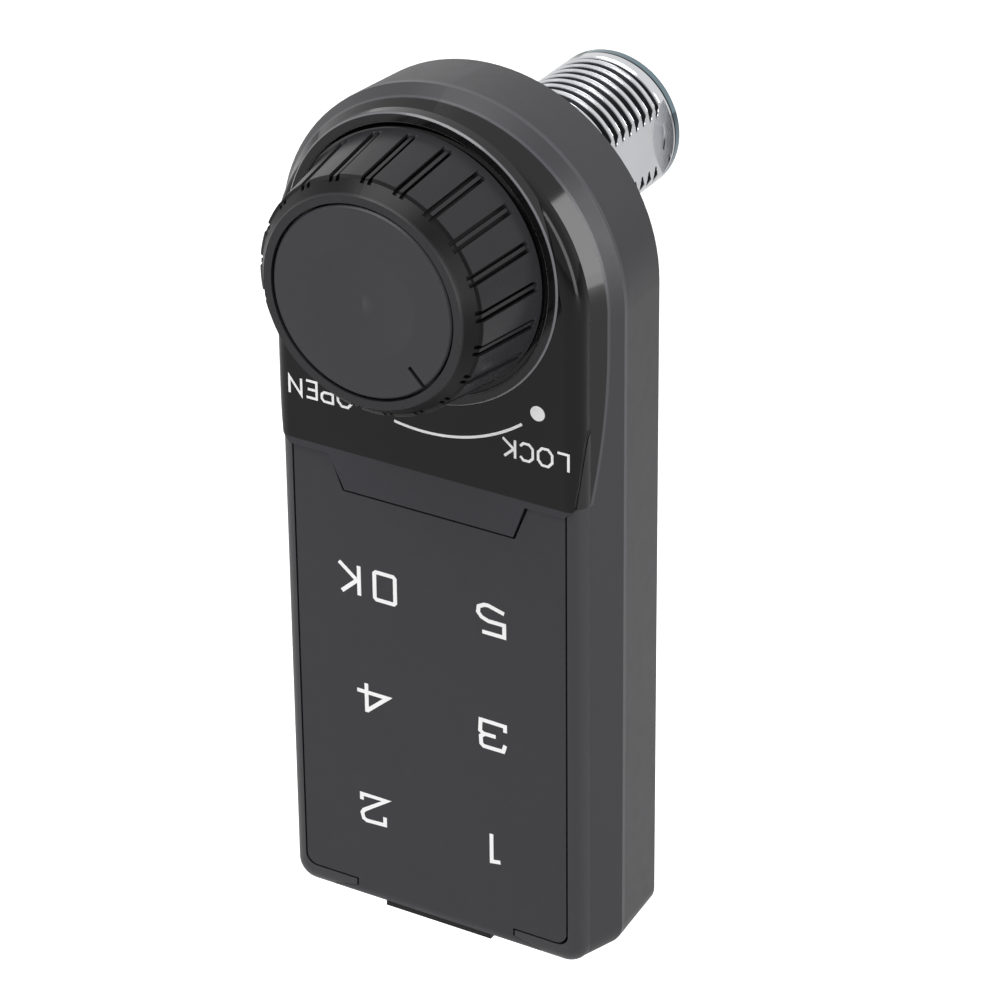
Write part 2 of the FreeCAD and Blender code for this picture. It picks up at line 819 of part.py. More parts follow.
def knob_body():
    """The moulded knob: a bevelled rim, a flared skirt with raised panels, a hub and a hollow back."""
    rim_inner = s.cap_radius + s.cap_gap
    neck = s.knob_front - s.panel_step
    cavity_front = knob_face - s.panel_start - s.hollow_set_back
    hub_bore = s.screw_shank + s.hub_bore_gap
    knob = turned("knob_body", [
        (cap_floor, hub_bore),
        (hub_foot, hub_bore),
        (hub_foot, s.hub_radius),
        (cavity_front, s.hub_radius),
        (cavity_front, s.knob_front - s.knob_shell - s.hollow_corner),
        (knob_foot, s.knob_base - s.knob_shell),
        (knob_foot, s.knob_base),
        (panel_edge, s.knob_front),
        (panel_edge + s.panel_lip, neck),
        (knob_face - s.rim_bevel, s.knob_rim + s.rim_bevel_out),
        (knob_face, s.knob_rim),
        (knob_face, rim_inner),
        (cap_floor, rim_inner),
    ])
    flare = (s.knob_base - s.knob_front) / (panel_edge - knob_foot)
    groove_end = knob_foot + s.groove_start
    run = s.groove_run
    deep_start = s.knob_front - s.groove_deep
    deep_end = deep_start + flare * (panel_edge - groove_end)
    clear = 2 * CUT_PAST + s.knob_base

    def flank(name, side):
        cutter = sketch(knob, name, "YZ_Plane", side * (s.groove_width + s.ridge_width) / 4)
        outline(cutter, [
            (-panel_edge - run, deep_start - flare * run),
            (-groove_end, deep_end),
            (-groove_end + run, deep_end + s.groove_deep + s.groove_run_rise),
            (-groove_end + run, clear),
            (-panel_edge - run, clear),
        ])
        return pocket(knob, f"{name}_cut", cutter, (s.groove_width - s.ridge_width) / 2, both=True)

    left = flank("groove_left", -1)
    right = flank("groove_right", 1)
    crest = sketch(knob, "ridge_crest", "YZ_Plane")
    outline(crest, [
        (-panel_edge - run, s.knob_front - flare * run - s.ridge_drop),
        (-groove_end, s.knob_front + flare * (panel_edge - groove_end) - s.ridge_drop),
        (-groove_end, clear),
        (-panel_edge - run, clear),
    ])
    shave = pocket(knob, "ridge_crest_cut", crest, s.ridge_width + s.ridge_cut_past, both=True)
    polar(knob, "knob_grooves", [left, right, shave], s.panel_count)
    square = front_sketch(knob, "knob_square_hole", hub_foot)
    side = s.knob_square / 2 + s.running_gap
    outline(square, [(side, side), (-side, side), (-side, -side), (side, -side)])
    pocket(knob, "knob_square_cut", square, knob_web - hub_foot, forward=True)
    recess = front_sketch(knob, "knob_screw_recess", cap_floor)
    ring(recess, ZERO, ZERO, s.screw_head + s.head_clear)
    pocket(knob, "knob_screw_recess_cut", recess, cap_floor - knob_web - s.web_thick)
    return node(knob, "knob_body")


def knob_cap():
    """The cap on the knob's face: a shallow dimple and the index line."""
    rear = cap_floor + s.seat_gap
    bowl = (s.dimple_radius * s.dimple_radius + s.dimple_deep * s.dimple_deep) / (2 * s.dimple_deep)
    cap = turned("knob_cap", [
        (rear, ZERO),
        (rear, s.cap_radius),
        (knob_face - s.cap_bevel, s.cap_radius),
        (knob_face, s.cap_radius - s.cap_bevel),
        (knob_face, s.dimple_radius),
        (knob_face - s.dimple_deep, ZERO, bowl, -1),
    ])
    line = front_sketch(cap, "index_line", knob_face)
    reach_in = s.cap_radius - s.index_length
    reach_out = s.cap_radius + CUT_PAST
    cos_a = cosine(s.index_angle)
    sin_a = sine(s.index_angle)
    half = s.index_width / 2
    corners = []
    for reach, side in ((reach_in, 1), (reach_in, -1), (reach_out, -1), (reach_out, 1)):
        corners.append((reach * cos_a + side * half * sin_a, -reach * sin_a + side * half * cos_a))
    corners.reverse()
    outline(line, corners)
    pocket(cap, "index_line_cut", line, s.cap_thick / 3)
    return node(cap, "knob_cap")


bush_rear = head_inside - s.bush_flange_thick
bush_front = fascia_front
square_foot = bush_front + s.square_foot_gap
disc_front = s.disc_ahead + s.disc_thick
journal_front = s.disc_ahead


def knob_bush():
    """The flanged bush that carries the knob's shaft in the head."""
    bore = s.front_journal + s.running_gap
    return node(turned("knob_bush", [
        (bush_rear, bore),
        (bush_rear, s.bush_flange),
        (head_inside, s.bush_flange),
        (head_inside, s.bush_radius),
        (bush_front, s.bush_radius),
        (bush_front, bore),
    ]), "knob_bush")


def rotor():
    """The shaft from knob to cam: squares for the knob, the disc and the cam, and two journals."""
    barrel_end = -s.barrel_length
    clip_front = barrel_end + s.counterbore_deep - s.running_gap
    clip_rear = clip_front - s.circlip_width - 2 * s.running_gap
    tail_root = barrel_end - s.tail_gap
    knob_top = knob_web - s.square_end_gap
    shaft = turned("rotor", [
        (tail_root, ZERO),
        (tail_root, s.journal_radius),
        (clip_rear, s.journal_radius),
        (clip_rear, s.circlip_groove),
        (clip_front, s.circlip_groove),
        (clip_front, s.journal_radius),
        (journal_front, s.journal_radius),
        (journal_front, s.front_journal),
        (square_foot, s.front_journal),
        (square_foot, ZERO),
    ])

    def square(name, side, rear, front):
        half = side / 2
        plan = front_sketch(shaft, name, rear)
        outline(plan, [(half, half), (-half, half), (-half, -half), (half, -half)])
        return pad(shaft, f"{name}_pad", plan, size_of(front) - rear)

    square("knob_square_plan", s.knob_square, square_foot - SUNK, knob_top)
    square("disc_square_plan", s.disc_square, journal_front - SUNK, disc_front)
    square("tail_square_plan", s.tail_square, tail_root - s.tail_length, tail_root + SUNK)
    front_hole = front_sketch(shaft, "knob_screw_hole", knob_top)
    ring(front_hole, ZERO, ZERO, s.screw_shank + s.screw_gap)
    pocket(shaft, "knob_screw_hole_cut", front_hole, s.knob_screw_hole)
    cam_hole = front_sketch(shaft, "cam_screw_hole", tail_root - s.tail_length)
    ring(cam_hole, ZERO, ZERO, s.cam_screw_radius)
    pocket(shaft, "cam_screw_hole_cut", cam_hole, s.cam_screw_length, forward=True)
    return node(shaft, "rotor")


def lock_barrel():
    """The barrel through the door: a flange inside, two flats, a plain collar at the end and a bored way."""
    bore = s.journal_radius + s.running_gap
    flange_front = s.back_wall + s.flange_thick
    barrel = turned("lock_barrel", [
        (-s.barrel_length, s.counterbore_radius),
        (-s.barrel_length, s.barrel_radius - s.barrel_chamfer),
        (s.barrel_chamfer - s.barrel_length, s.barrel_radius),
        (s.back_wall, s.barrel_radius),
        (s.back_wall, s.flange_radius),
        (flange_front, s.flange_radius),
        (flange_front, bore),
        (s.counterbore_deep - s.barrel_length, bore),
        (s.counterbore_deep - s.barrel_length, s.counterbore_radius),
    ])
    flats = front_sketch(barrel, "barrel_flats_plan", s.back_wall)
    near = s.barrel_flats / 2
    far = s.barrel_radius + CUT_PAST
    for side in (1, -1):
        corners = [(side * near, -far), (side * far, -far), (side * far, far), (side * near, far)]
        if side < 0:
            corners.reverse()
        outline(flats, corners)
    pocket(barrel, "barrel_flats_cut", flats, s.back_wall + s.barrel_length - s.collar_length)
    holes = front_sketch(barrel, "flange_holes", flange_front)
    for x, z in flange_screw_places():
        ring(holes, x, z, s.screw_shank + s.screw_gap)
    ring(holes, stop_place()[0], stop_place()[1], s.stop_radius + s.stop_gap)
    pocket(barrel, "flange_hole_cuts", holes, s.flange_thick)
    return node(barrel, "lock_barrel")


def flange_screw_places():
    """Four screws round the flange, clear of the pin's path."""
    places = []
    for turn in range(FLANGE_SCREWS):
        angle = size_of(FIRST_FLANGE_SCREW + 360 / FLANGE_SCREWS * turn)
        places.append((s.flange_screw_radius * cosine(angle), s.flange_screw_radius * sine(angle)))
    return places


def stop_place():
    """The stop pin stands straight above the axis."""
    return ZERO, s.stop_circle


def locking_disc():
    """The disc on the rotor: one notch for LOCK and one for OPEN, and the slot that limits the turn."""
    disc = body("locking_disc")
    plan = front_sketch(disc, "disc_plan", s.disc_ahead)
    ring(plan, ZERO, ZERO, s.disc_radius)
    half = s.disc_square / 2 + s.running_gap
    outline(plan, [(half, half), (-half, half), (-half, -half), (half, -half)])
    pad(disc, "disc_pad", plan, s.disc_thick)
    notches = front_sketch(disc, "disc_notches", disc_front)
    edge = s.disc_radius + CUT_PAST
    floor = s.disc_radius - s.notch_deep
    side = s.notch_width / 2
    outline(notches, [(side, -floor), (-side, -floor), (-side, -edge), (side, -edge)])
    outline(notches, [(edge, side), (floor, side), (floor, -side), (edge, -side)])
    pocket(disc, "disc_notch_cuts", notches, s.disc_thick)
    slot = front_sketch(disc, "disc_slot", disc_front)
    reach = s.stop_radius + s.slot_gap
    inner = s.stop_circle - reach
    outer = s.stop_circle + reach
    outline(slot, [
        (reach, s.stop_circle, reach, 1),
        (ZERO, outer, reach, 1),
        (-outer, ZERO, outer, 1),
        (-s.stop_circle, -reach, reach, 1),
        (-inner, ZERO, reach, 1),
        (ZERO, inner, inner, -1),
    ])
    pocket(disc, "disc_slot_cut", slot, s.disc_thick)
    return node(disc, "locking_disc")


def ear_screw_places():
    """The two screws through the ears of the pin's guide."""
    return [(side * s.ear_across, -s.ear_drop) for side in (-1, 1)]


def strap_screw_places():
    """The two screws through the feet of the motor's strap."""
    across = s.motor_width / 2 + s.strap_thick + s.screw_head + s.head_clear
    height = -s.motor_top - s.motor_length / 2
    return [(side * across, height) for side in (-1, 1)]


def screws(name, places, head_rear, length, backward=False):
    """Pan-head screws as one group. The head starts at head_rear and the shank points back, or forward."""
    pieces = []
    for index, (x, z) in enumerate(places):
        if backward:
            head = rod(f"{name}_head_{index}", s.screw_head, head_rear, head_rear + s.screw_head_thick, x, z)
            start = head_rear + s.screw_head_thick
            shank = rod(f"{name}_shank_{index}", s.screw_shank, start - SUNK, start + length, x, z)
        else:
            head = rod(f"{name}_head_{index}", s.screw_head, head_rear, head_rear + s.screw_head_thick, x, z)
            shank = rod(f"{name}_shank_{index}", s.screw_shank, head_rear - length, head_rear + SUNK, x, z)
        pieces += [head, shank]
    return node(fuse(name, pieces), name)


def through_holes(name, radius, rear, front, places):
    """Cutters along Y for holes right through a plate."""
    return [rod(f"{name}_{i}", radius, rear - CUT_PAST, front + CUT_PAST, x, z)
            for i, (x, z) in enumerate(places)]


def disc_spacer():
    """The sleeve that keeps the disc against the rotor's shoulder."""
    inner = s.front_journal + s.screw_gap
    outer = s.disc_square / 2 + s.spacer_wall
    rear = disc_front
    front = bush_rear - s.spacer_gap
    sleeve = turned("disc_spacer", [(rear, inner), (rear, outer), (front, outer), (front, inner)])
    return node(sleeve, "disc_spacer")


def rotor_circlip():
    """The open ring that keeps the rotor in the barrel."""
    groove_front = s.counterbore_deep - s.barrel_length - s.running_gap
    rear = groove_front - s.circlip_width - s.running_gap
    front = groove_front - s.running_gap
    outer = rod("circlip_disc", s.circlip_radius, rear, front)
    inner = rod("circlip_bore", s.circlip_groove + s.running_gap, rear - CUT_PAST, front + CUT_PAST)
    mouth = slab("circlip_mouth", ZERO, s.circlip_mouth, rear - CUT_PAST, front + CUT_PAST,
                 ZERO, s.circlip_radius + CUT_PAST)
    return node(cut("rotor_circlip", outer, [inner, mouth]), "rotor_circlip")


def stop_pin():
    """The fixed pin in the disc's slot."""
    x, z = stop_place()
    return node(rod("stop_pin", s.stop_radius, s.back_wall, disc_front + s.stop_proud, x, z), "stop_pin")


pin_foot = s.pin_top + s.pin_length
nut_foot = pin_foot + s.nut_length
screw_tip = s.pin_top + s.screw_tip_drop


def lock_pin():
    """The square-nosed pin with its nut block on the motor's screw."""
    ahead = s.drive_ahead
    half = s.pin_thick / 2
    nose = slab("pin_nose", ZERO, s.pin_width, ahead - half, ahead + half, -pin_foot - SUNK, -s.pin_top)
    nut_half = s.nut_thick / 2
    nut = slab("pin_nut", ZERO, s.nut_width, ahead - nut_half, ahead + nut_half, -nut_foot, -pin_foot)
    bore = post("pin_bore", s.screw_radius + s.running_gap, -nut_foot - CUT_PAST, s.screw_tip_gap - screw_tip,
                ZERO, ahead)
    return node(cut("lock_pin", fuse("pin_block", [nose, nut]), [bore]), "lock_pin")


def lead_screw():
    """The motor's screw shaft."""
    foot = s.motor_top + s.screw_in_motor
    return node(post("lead_screw", s.screw_radius, -foot, -screw_tip, ZERO, s.drive_ahead), "lead_screw")


def pin_guide():
    """The channel that the pin slides in, with two ears."""
    ahead = s.drive_ahead
    cavity_x = s.nut_width + 2 * s.guide_gap
    cavity_half = s.nut_thick / 2 + s.guide_gap
    bottom = s.guide_motor_gap - s.motor_top
    cavity_top = s.pin_travel + s.end_gap - pin_foot
    block = slab("guide_block", ZERO, cavity_x + 2 * s.guide_wall,
                 s.back_wall, ahead + cavity_half + s.guide_wall, bottom, -s.guide_top)
    ears = slab("guide_ears", ZERO, 2 * s.ear_half, s.back_wall, s.back_wall + s.ear_thick,
                -s.ear_drop - s.ear_reach, s.ear_reach - s.ear_drop)
    cavity = slab("guide_cavity", ZERO, cavity_x, ahead - cavity_half, ahead + cavity_half,
                  bottom - CUT_PAST, cavity_top)
    nose_half = s.pin_thick / 2 + s.guide_gap
    nose = slab("guide_nose", ZERO, s.pin_width + 2 * s.guide_gap, ahead - nose_half, ahead + nose_half,
                cavity_top - CUT_PAST, CUT_PAST - s.guide_top)
    holes = through_holes("ear_hole", s.screw_shank + s.screw_gap, s.back_wall, s.back_wall + s.ear_thick,
                          ear_screw_places())
    return node(cut("pin_guide", fuse("guide_form", [block, ears]), [cavity, nose] + holes), "pin_guide")


def motor_case():
    """The flat-sided motor: a round can less two sides, with a bearing hole for its screw."""
    low = -s.motor_top - s.motor_length
    can = post("motor_can", s.motor_width / 2, low, -s.motor_top, ZERO, s.drive_ahead)
    half = s.motor_thick / 2
    flat = slab("motor_flats", ZERO, s.motor_width + 2 * CUT_PAST, s.drive_ahead - half, s.drive_ahead + half,
                low, -s.motor_top)
    sides = doc.addObject("Part::Common", "motor_sides")
    sides.Base = can
    sides.Tool = flat
    hole_end = -s.motor_top - s.screw_in_motor - s.end_gap
    hole = post("motor_hole", s.screw_radius + s.running_gap, hole_end, CUT_PAST - s.motor_top,
                ZERO, s.drive_ahead)
    return node(cut("motor_case", sides, [hole]), "motor_case")


def motor_strap():
    """The strap over the motor, with a foot on each side."""
    ahead = s.drive_ahead + s.motor_thick / 2
    inner = s.motor_width / 2 + s.strap_gap
    outer = inner + s.strap_thick
    middle = -s.motor_top - s.motor_length / 2
    low, high = middle - s.strap_width / 2, middle + s.strap_width / 2
    foot_end = strap_screw_places()[1][0] + s.screw_head
    pieces = [slab("strap_bridge", ZERO, 2 * outer, ahead, ahead + s.strap_thick, low, high)]
    for side in (-1, 1):
        leg_x = side * (inner + outer) / 2
        foot_x = side * (inner + foot_end) / 2
        pieces.append(slab(f"strap_leg_{side + 1}", leg_x, s.strap_thick, s.back_wall, ahead + SUNK,
                           low, high))
        pieces.append(slab(f"strap_foot_{side + 1}", foot_x, foot_end - inner, s.back_wall,
                           s.back_wall + s.strap_thick, low, high))
    holes = through_holes("strap_hole", s.screw_shank + s.screw_gap, s.back_wall, s.back_wall + s.strap_thick,
                          strap_screw_places())
    return node(cut("motor_strap", fuse("strap_form", pieces), holes), "motor_strap")


cell_foot = s.cell_top + s.cell_length
tray_top = s.cell_top - s.contact_space - s.tray_wall
tray_foot = cell_foot + s.contact_space + s.tray_wall
cell_places = [-s.cell_centre - s.cell_pitch / 2, s.cell_pitch / 2 - s.cell_centre]


def battery_tray():
    """The open tray with a well for each cell."""
    well = 2 * (s.cell_radius + s.cell_gap)
    outer = s.cell_pitch + well + 2 * s.tray_wall
    block = slab("tray_box", -s.cell_centre, outer, s.back_wall, s.back_wall + s.tray_deep,
                 -tray_foot, -tray_top)
    wells = [slab(f"tray_well_{i}", x, well, s.back_wall + s.tray_floor, s.back_wall + s.tray_deep + CUT_PAST,
                  s.tray_wall - tray_foot, -tray_top - s.tray_wall) for i, x in enumerate(cell_places)]
    bridge_slot = slab("tray_bridge_slot", -s.cell_centre, s.cell_pitch, s.back_wall + s.tray_floor,
                       s.back_wall + s.tray_deep + CUT_PAST, s.tray_wall - tray_foot,
                       s.tray_wall - tray_foot + s.contact_thick + s.seat_gap)
    return node(cut("battery_tray", block, wells + [bridge_slot]), "battery_tray")


def battery(label, x, nub_up):
    """A round cell with its nub at one end."""
    can_low = -cell_foot if nub_up else s.cell_nub_length - cell_foot
    can_high = -s.cell_top - s.cell_nub_length if nub_up else -s.cell_top
    can = post(f"{label}_can", s.cell_radius, can_low, can_high, x, s.cell_ahead)
    nub_low, nub_high = (can_high - SUNK, -s.cell_top) if nub_up else (-cell_foot, can_low + SUNK)
    nub = post(f"{label}_nub", s.cell_nub_radius, nub_low, nub_high, x, s.cell_ahead)
    return node(fuse(label, [can, nub]), label)


def contact(label, places, at_top):
    """A sheet contact against the tray's end wall, with a raised bump for each cell."""
    wall = -tray_top - s.tray_wall if at_top else s.tray_wall - tray_foot
    sheet_low, sheet_high = (wall - s.contact_thick, wall) if at_top else (wall, wall + s.contact_thick)
    width = 2 * (s.cell_radius - s.contact_inset)
    middle = (places[0] + places[-1]) / 2
    span = places[-1] - places[0] + width
    pieces = [slab(f"{label}_sheet", middle, span, s.back_wall + s.tray_floor, s.cell_ahead + s.contact_reach,
                   sheet_low, sheet_high)]
    for i, x in enumerate(places):
        low, high = (s.seat_gap - s.cell_top, sheet_high) if at_top else (sheet_low, -cell_foot - s.seat_gap)
        pieces.append(post(f"{label}_bump_{i}", s.cell_nub_radius, low, high, x, s.cell_ahead))
    return node(fuse(label, pieces), label)


board_front = s.board_ahead + s.board_thick
board_middle = s.board_left + s.board_width / 2


def control_board():
    """The circuit board beside the cells, on two posts."""
    low = -s.board_top - s.board_length
    plate = slab("board_plate", board_middle, s.board_width, s.board_ahead, board_front, low, -s.board_top)
    holes = through_holes("board_hole", s.screw_shank + s.screw_gap, s.board_ahead, board_front,
                          board_screw_places())
    return node(cut("control_board", plate, holes), "control_board")


def board_parts():
    """What is soldered to the board: chips, the buzzer, and the header with its sprung pins."""

    def chip(name, side, across, down):
        middle = -s.board_top - down
        return slab(name, board_middle + across, side, board_front, board_front + s.chip_height,
                    middle - side / 2, middle + side / 2)

    right = s.board_width / 2 - s.chip_small_side
    left = s.chip_side / 2 - s.board_width / 4
    chips = [
        chip("chip_large", s.chip_side, left - s.chip_small_side / 2, s.chip_large_down),
        chip("chip_small", s.chip_small_side, right, s.chip_small_down),
        chip("chip_driver", s.chip_small_side, left - s.chip_side / 2, s.chip_driver_down),
    ]
    node(fuse("board_chips", chips), "board_chips")
    buzzer_across = s.board_width / 2 - s.buzzer_radius - s.chip_height / 2
    node(rod("buzzer", s.buzzer_radius, board_front, board_front + s.buzzer_height,
             board_middle + buzzer_across, -s.board_top - s.buzzer_down), "buzzer")
    header_front = board_front + s.header_height
    header_middle = -s.board_top - s.header_down
    node(slab("pin_header", board_middle, s.header_length, board_front, header_front,
              header_middle - s.header_width / 2, header_middle + s.header_width / 2), "pin_header")
    pins = [rod(f"sprung_pin_{i}", s.sprung_pin_radius, header_front, board_rear_clear,
                board_middle + s.header_pitch * (i - (HEADER_PINS - 1) / 2), header_middle)
            for i in range(HEADER_PINS)]
    node(fuse("sprung_pins", pins), "sprung_pins")


keypad_rear = s.housing_depth - s.keypad_thick
touch_front = keypad_rear - s.pad_thick
touch_rear = touch_front - s.touch_board_thick
board_rear_clear = touch_rear - s.sprung_gap
lip_ahead = s.housing_depth - s.lip_set_back
lip_foot = -s.body_drop - s.foot_rise - s.lip_hang


def keypad_cover():
    """The flat cover over the battery bay that carries the touch keys, with a tongue over the bottom edge."""
    cover = body("keypad_cover")
    front_form(cover, s.housing_depth)
    trim = around(front_sketch(cover, "keypad_trim", s.housing_depth + CUT_PAST))
    floor = s.keypad_drop - s.seam_gap / 2
    right = tongue_sides(ZERO)
    left = [(-x, z) for x, z in right]
    tongue = [(left[0][0], -floor)] + left + right[::-1] + [(right[0][0], -floor)]
    outline(trim, keypad_outline(ZERO, floor, tongue))
    pocket(cover, "keypad_trim_cut", trim, s.housing_depth)
    behind = around(front_sketch(cover, "keypad_behind", keypad_rear))
    pocket(cover, "keypad_behind_cut", behind, keypad_rear)
    notch = front_sketch(cover, "lip_notch", lip_ahead)
    side = s.lip_half
    top = lip_foot + s.lip_root
    outline(notch, [(side, top), (-side, top), (-side, below), (side, below)])
    pocket(cover, "lip_notch_cut", notch, lip_ahead)
    stakes = front_sketch(cover, "cover_stakes", keypad_rear)
    for x, z in stake_places:
        ring(stakes, x, z, s.stake_radius)
    pad(cover, "cover_stake_pads", stakes, keypad_rear - board_rear_clear, backward=True)
    return node(cover, "keypad_cover")


def release_lip():
    """The black finger lip at the cover's lower edge."""
    rear = lip_ahead - s.lip_thick
    return node(slab("release_lip", ZERO, 2 * s.lip_half, rear, lip_ahead, lip_foot, lip_foot + s.lip_root),
                "release_lip")


def touch_board():
    """The board of touch electrodes behind the keypad, on the cover's four stakes."""
    plate = slab("touch_plate", ZERO, 2 * s.touch_board_half, touch_rear, touch_front,
                 -s.touch_board_drop, -s.touch_board_top)
    holes = through_holes("stake_hole", s.stake_radius + s.seat_gap, touch_rear, touch_front, stake_places)
    node(cut("touch_board", plate, holes), "touch_board")
    half = s.pad_side / 2
    pads = [slab(f"touch_pad_{i}", x, s.pad_side, touch_front, keypad_rear, z - half, z + half)
            for i, (x, z) in enumerate(key_places)]
    node(fuse("touch_pads", pads), "touch_pads")


def write_parts():
    """Checks every object and writes one file for each piece."""
    doc.recompute()
    for thing in doc.Objects:
        if "Invalid" in thing.State or "Error" in thing.State:
            raise RuntimeError(f"{thing.Label} failed: {thing.State}")
    os.makedirs("parts", exist_ok=True)
    for piece in NODES:
        if piece.Shape.isNull() or not piece.Shape.isValid() or not piece.Shape.Solids:
            raise RuntimeError(f"{piece.Label} has no valid solid")
        piece.Shape.exportStep(f"parts/{piece.Label}.step")
        print(piece.Label, len(piece.Shape.Solids), round(piece.Shape.Volume, 1))


rear_housing()
front_cover()
head_fascia()
trim_ring()
knob_body()
knob_cap()
knob_bush()
rotor()
lock_barrel()
locking_disc()
disc_spacer()
rotor_circlip()
stop_pin()
screws("barrel_screws", flange_screw_places(), s.back_wall + s.flange_thick,
       s.flange_thick + s.back_wall - s.pilot_skin - s.tip_clear)
screws("knob_screw", [(ZERO, ZERO)], knob_web + s.web_thick, s.web_thick + s.knob_screw_reach)
lock_pin()
lead_screw()
pin_guide()
screws("guide_screws", ear_screw_places(), s.back_wall + s.ear_thick, s.guide_screw_length)
motor_case()
motor_strap()
screws("strap_screws", strap_screw_places(), s.back_wall + s.strap_thick, s.strap_screw_length)
battery_tray()
battery("battery_left", cell_places[0], True)
battery("battery_right", cell_places[1], False)
contact("contact_bridge", cell_places, False)
contact("contact_plus", cell_places[:1], True)
contact("contact_minus", cell_places[1:], True)
control_board()
board_parts()
screws("board_screws", board_screw_places(), board_front, s.board_screw_length)
keypad_cover()
release_lip()
touch_board()
screws("case_screws", case_screws, ZERO, s.case_screw_length, backward=True)
write_parts()
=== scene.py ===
"""The looks of an electronic locker lock: its finishes, the cut thread on its barrel and its printed marks.

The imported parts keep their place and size. Lengths are written in millimetres and turned into metres by MM.
"""

import math
from types import SimpleNamespace

import bmesh
import bpy
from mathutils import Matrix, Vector


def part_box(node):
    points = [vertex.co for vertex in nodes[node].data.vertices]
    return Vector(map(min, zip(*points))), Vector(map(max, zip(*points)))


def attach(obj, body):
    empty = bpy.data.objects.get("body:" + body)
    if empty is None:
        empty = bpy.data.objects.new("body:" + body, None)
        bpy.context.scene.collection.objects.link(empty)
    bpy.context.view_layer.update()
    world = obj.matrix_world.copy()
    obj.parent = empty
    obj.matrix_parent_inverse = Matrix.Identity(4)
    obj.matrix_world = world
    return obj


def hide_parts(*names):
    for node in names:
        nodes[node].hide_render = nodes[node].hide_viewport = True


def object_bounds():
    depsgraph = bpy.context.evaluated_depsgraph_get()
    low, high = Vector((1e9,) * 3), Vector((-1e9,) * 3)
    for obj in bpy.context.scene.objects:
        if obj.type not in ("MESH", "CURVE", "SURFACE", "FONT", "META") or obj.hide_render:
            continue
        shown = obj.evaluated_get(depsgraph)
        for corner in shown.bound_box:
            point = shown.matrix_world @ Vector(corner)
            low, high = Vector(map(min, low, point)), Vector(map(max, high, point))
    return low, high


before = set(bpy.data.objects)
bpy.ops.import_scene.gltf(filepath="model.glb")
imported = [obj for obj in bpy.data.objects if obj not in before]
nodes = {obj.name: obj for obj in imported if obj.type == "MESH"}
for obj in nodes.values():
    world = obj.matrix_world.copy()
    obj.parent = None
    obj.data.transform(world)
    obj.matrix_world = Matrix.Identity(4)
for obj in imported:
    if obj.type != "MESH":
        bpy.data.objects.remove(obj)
cad_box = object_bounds()

MM = 0.001

# Camera
CAMERA_PLACE = (0.26240, -0.43660, 0.24005)
CAMERA_TURN = (61.188, 0.544, 30.725)
LENS = 167.25
SENSOR = 36.0

# Barrel
BARREL_RADIUS = 9.5
FLATS = 16.0
COLLAR_LENGTH = 2.2
CHAMFER = 0.7
COUNTERBORE_RADIUS = 8.2
COUNTERBORE_DEEP = 2.4
BORE_RADIUS = 6.55
FLANGE_THICK = 2.0
THREAD_PITCH = 1.75
THREAD_DEEP = 0.85
THREAD_START = 0.4
THREAD_END = 27.6
FADE_OUT = 0.7
CREST_SHARE = 0.12
FLANK_SHARE = 0.76
ROWS_A_TURN = 12
COLUMN_STEP = 1.5
SHARP_EDGE = 20
FLANGE_SCREWS = 4
FIRST_FLANGE_SCREW = 45
FLANGE_SCREW_RING = 11.2
FLANGE_HOLE_RADIUS = 1.15
STOP_RING = 7.9
STOP_HOLE_RADIUS = 1.02
HOLE_CORNERS = 24
CUT_PAST = 0.5
SAME_PLACE = 1e-7

# Barrel: painted shade in the thread's roots, and painted reflection, a dark line before a band, on the
# collar
ROOT_TOP = 0.14
ROOT_FULL = 0.34
FLAT_EDGE = 0.02
FLAT_EDGE_FULL = 0.06
BAND_START = 28.8
BAND_LINE = 0.3

# Housing, fascia and knob, where their tone changes and where highlights and shade are painted
EDGE_BLUR = 0.05
HEAD_DROP = 4.15
BLACK_REACH = 23.0
HIGHLIGHT_LINE = 0.2
BLACK_WAIST = 8.0
BLACK_LEAN = 1.2
BLACK_FOOT = 28.95
TONE_BLUR = 0.1
RIDGE_AHEAD = 10.2
RIDGE_BAND = 0.6
RING_MIDDLE = 18.3
RING_BEVEL = 17.0
RING_HALF = 0.44
RING_HALF_FULL = 0.50
RING_BLUR = 0.04
GLOSS_FOOT = -28.95
GLOSS_BLUR = 0.08
KNOB_FOOT = 17.3
PANEL_EDGE = 28.2
PANEL_BLUR = 0.02
KNOB_FOOT_RADIUS = 17.0
KNOB_FRONT_RADIUS = 15.5
GROOVE_TOP = 0.30
GROOVE_FULL = 0.40
RIM_RADIUS = 13.7
BAND_FULL = 0.25
INDEX_FLOOR = -29.95
INDEX_TOP = -29.91

# Print, with each key's place across and its row
PRINT_THICK = 0.02
STROKE_LIFT = 0.004
SHARPEST_CORNER = 0.35
DIGIT_HEIGHT = 3.95
DIGIT_SPACE = 2.3
DIGIT_STROKE = 0.55
WORD_HEIGHT = 2.3
WORD_SPACE = 0.75
WORD_STROKE = 0.34
KEYS = [
    ("key_ok", "OK", -9.15, 0), ("key_five", "5", 8.92, 0),
    ("key_four", "4", -8.7, 1), ("key_three", "3", 8.95, 1),
    ("key_two", "2", -8.9, 2), ("key_one", "1", 9.25, 2),
]
FIRST_ROW = -47.5
ROW_PITCH = 16.8
OK_RAISED = 0.1
LOCK_PLACE = (15.8, -22.2)
OPEN_PLACE = (-14.9, -21.6)
ARC_RADIUS = 23.15
ARC_FROM = -100.5
ARC_TO = -53.1
ARC_STROKE = 0.36
ARC_STEPS = 48
DOT_PLACE = (16.1, -16.5)
DOT_RADIUS = 1.0
DOT_CORNERS = 40

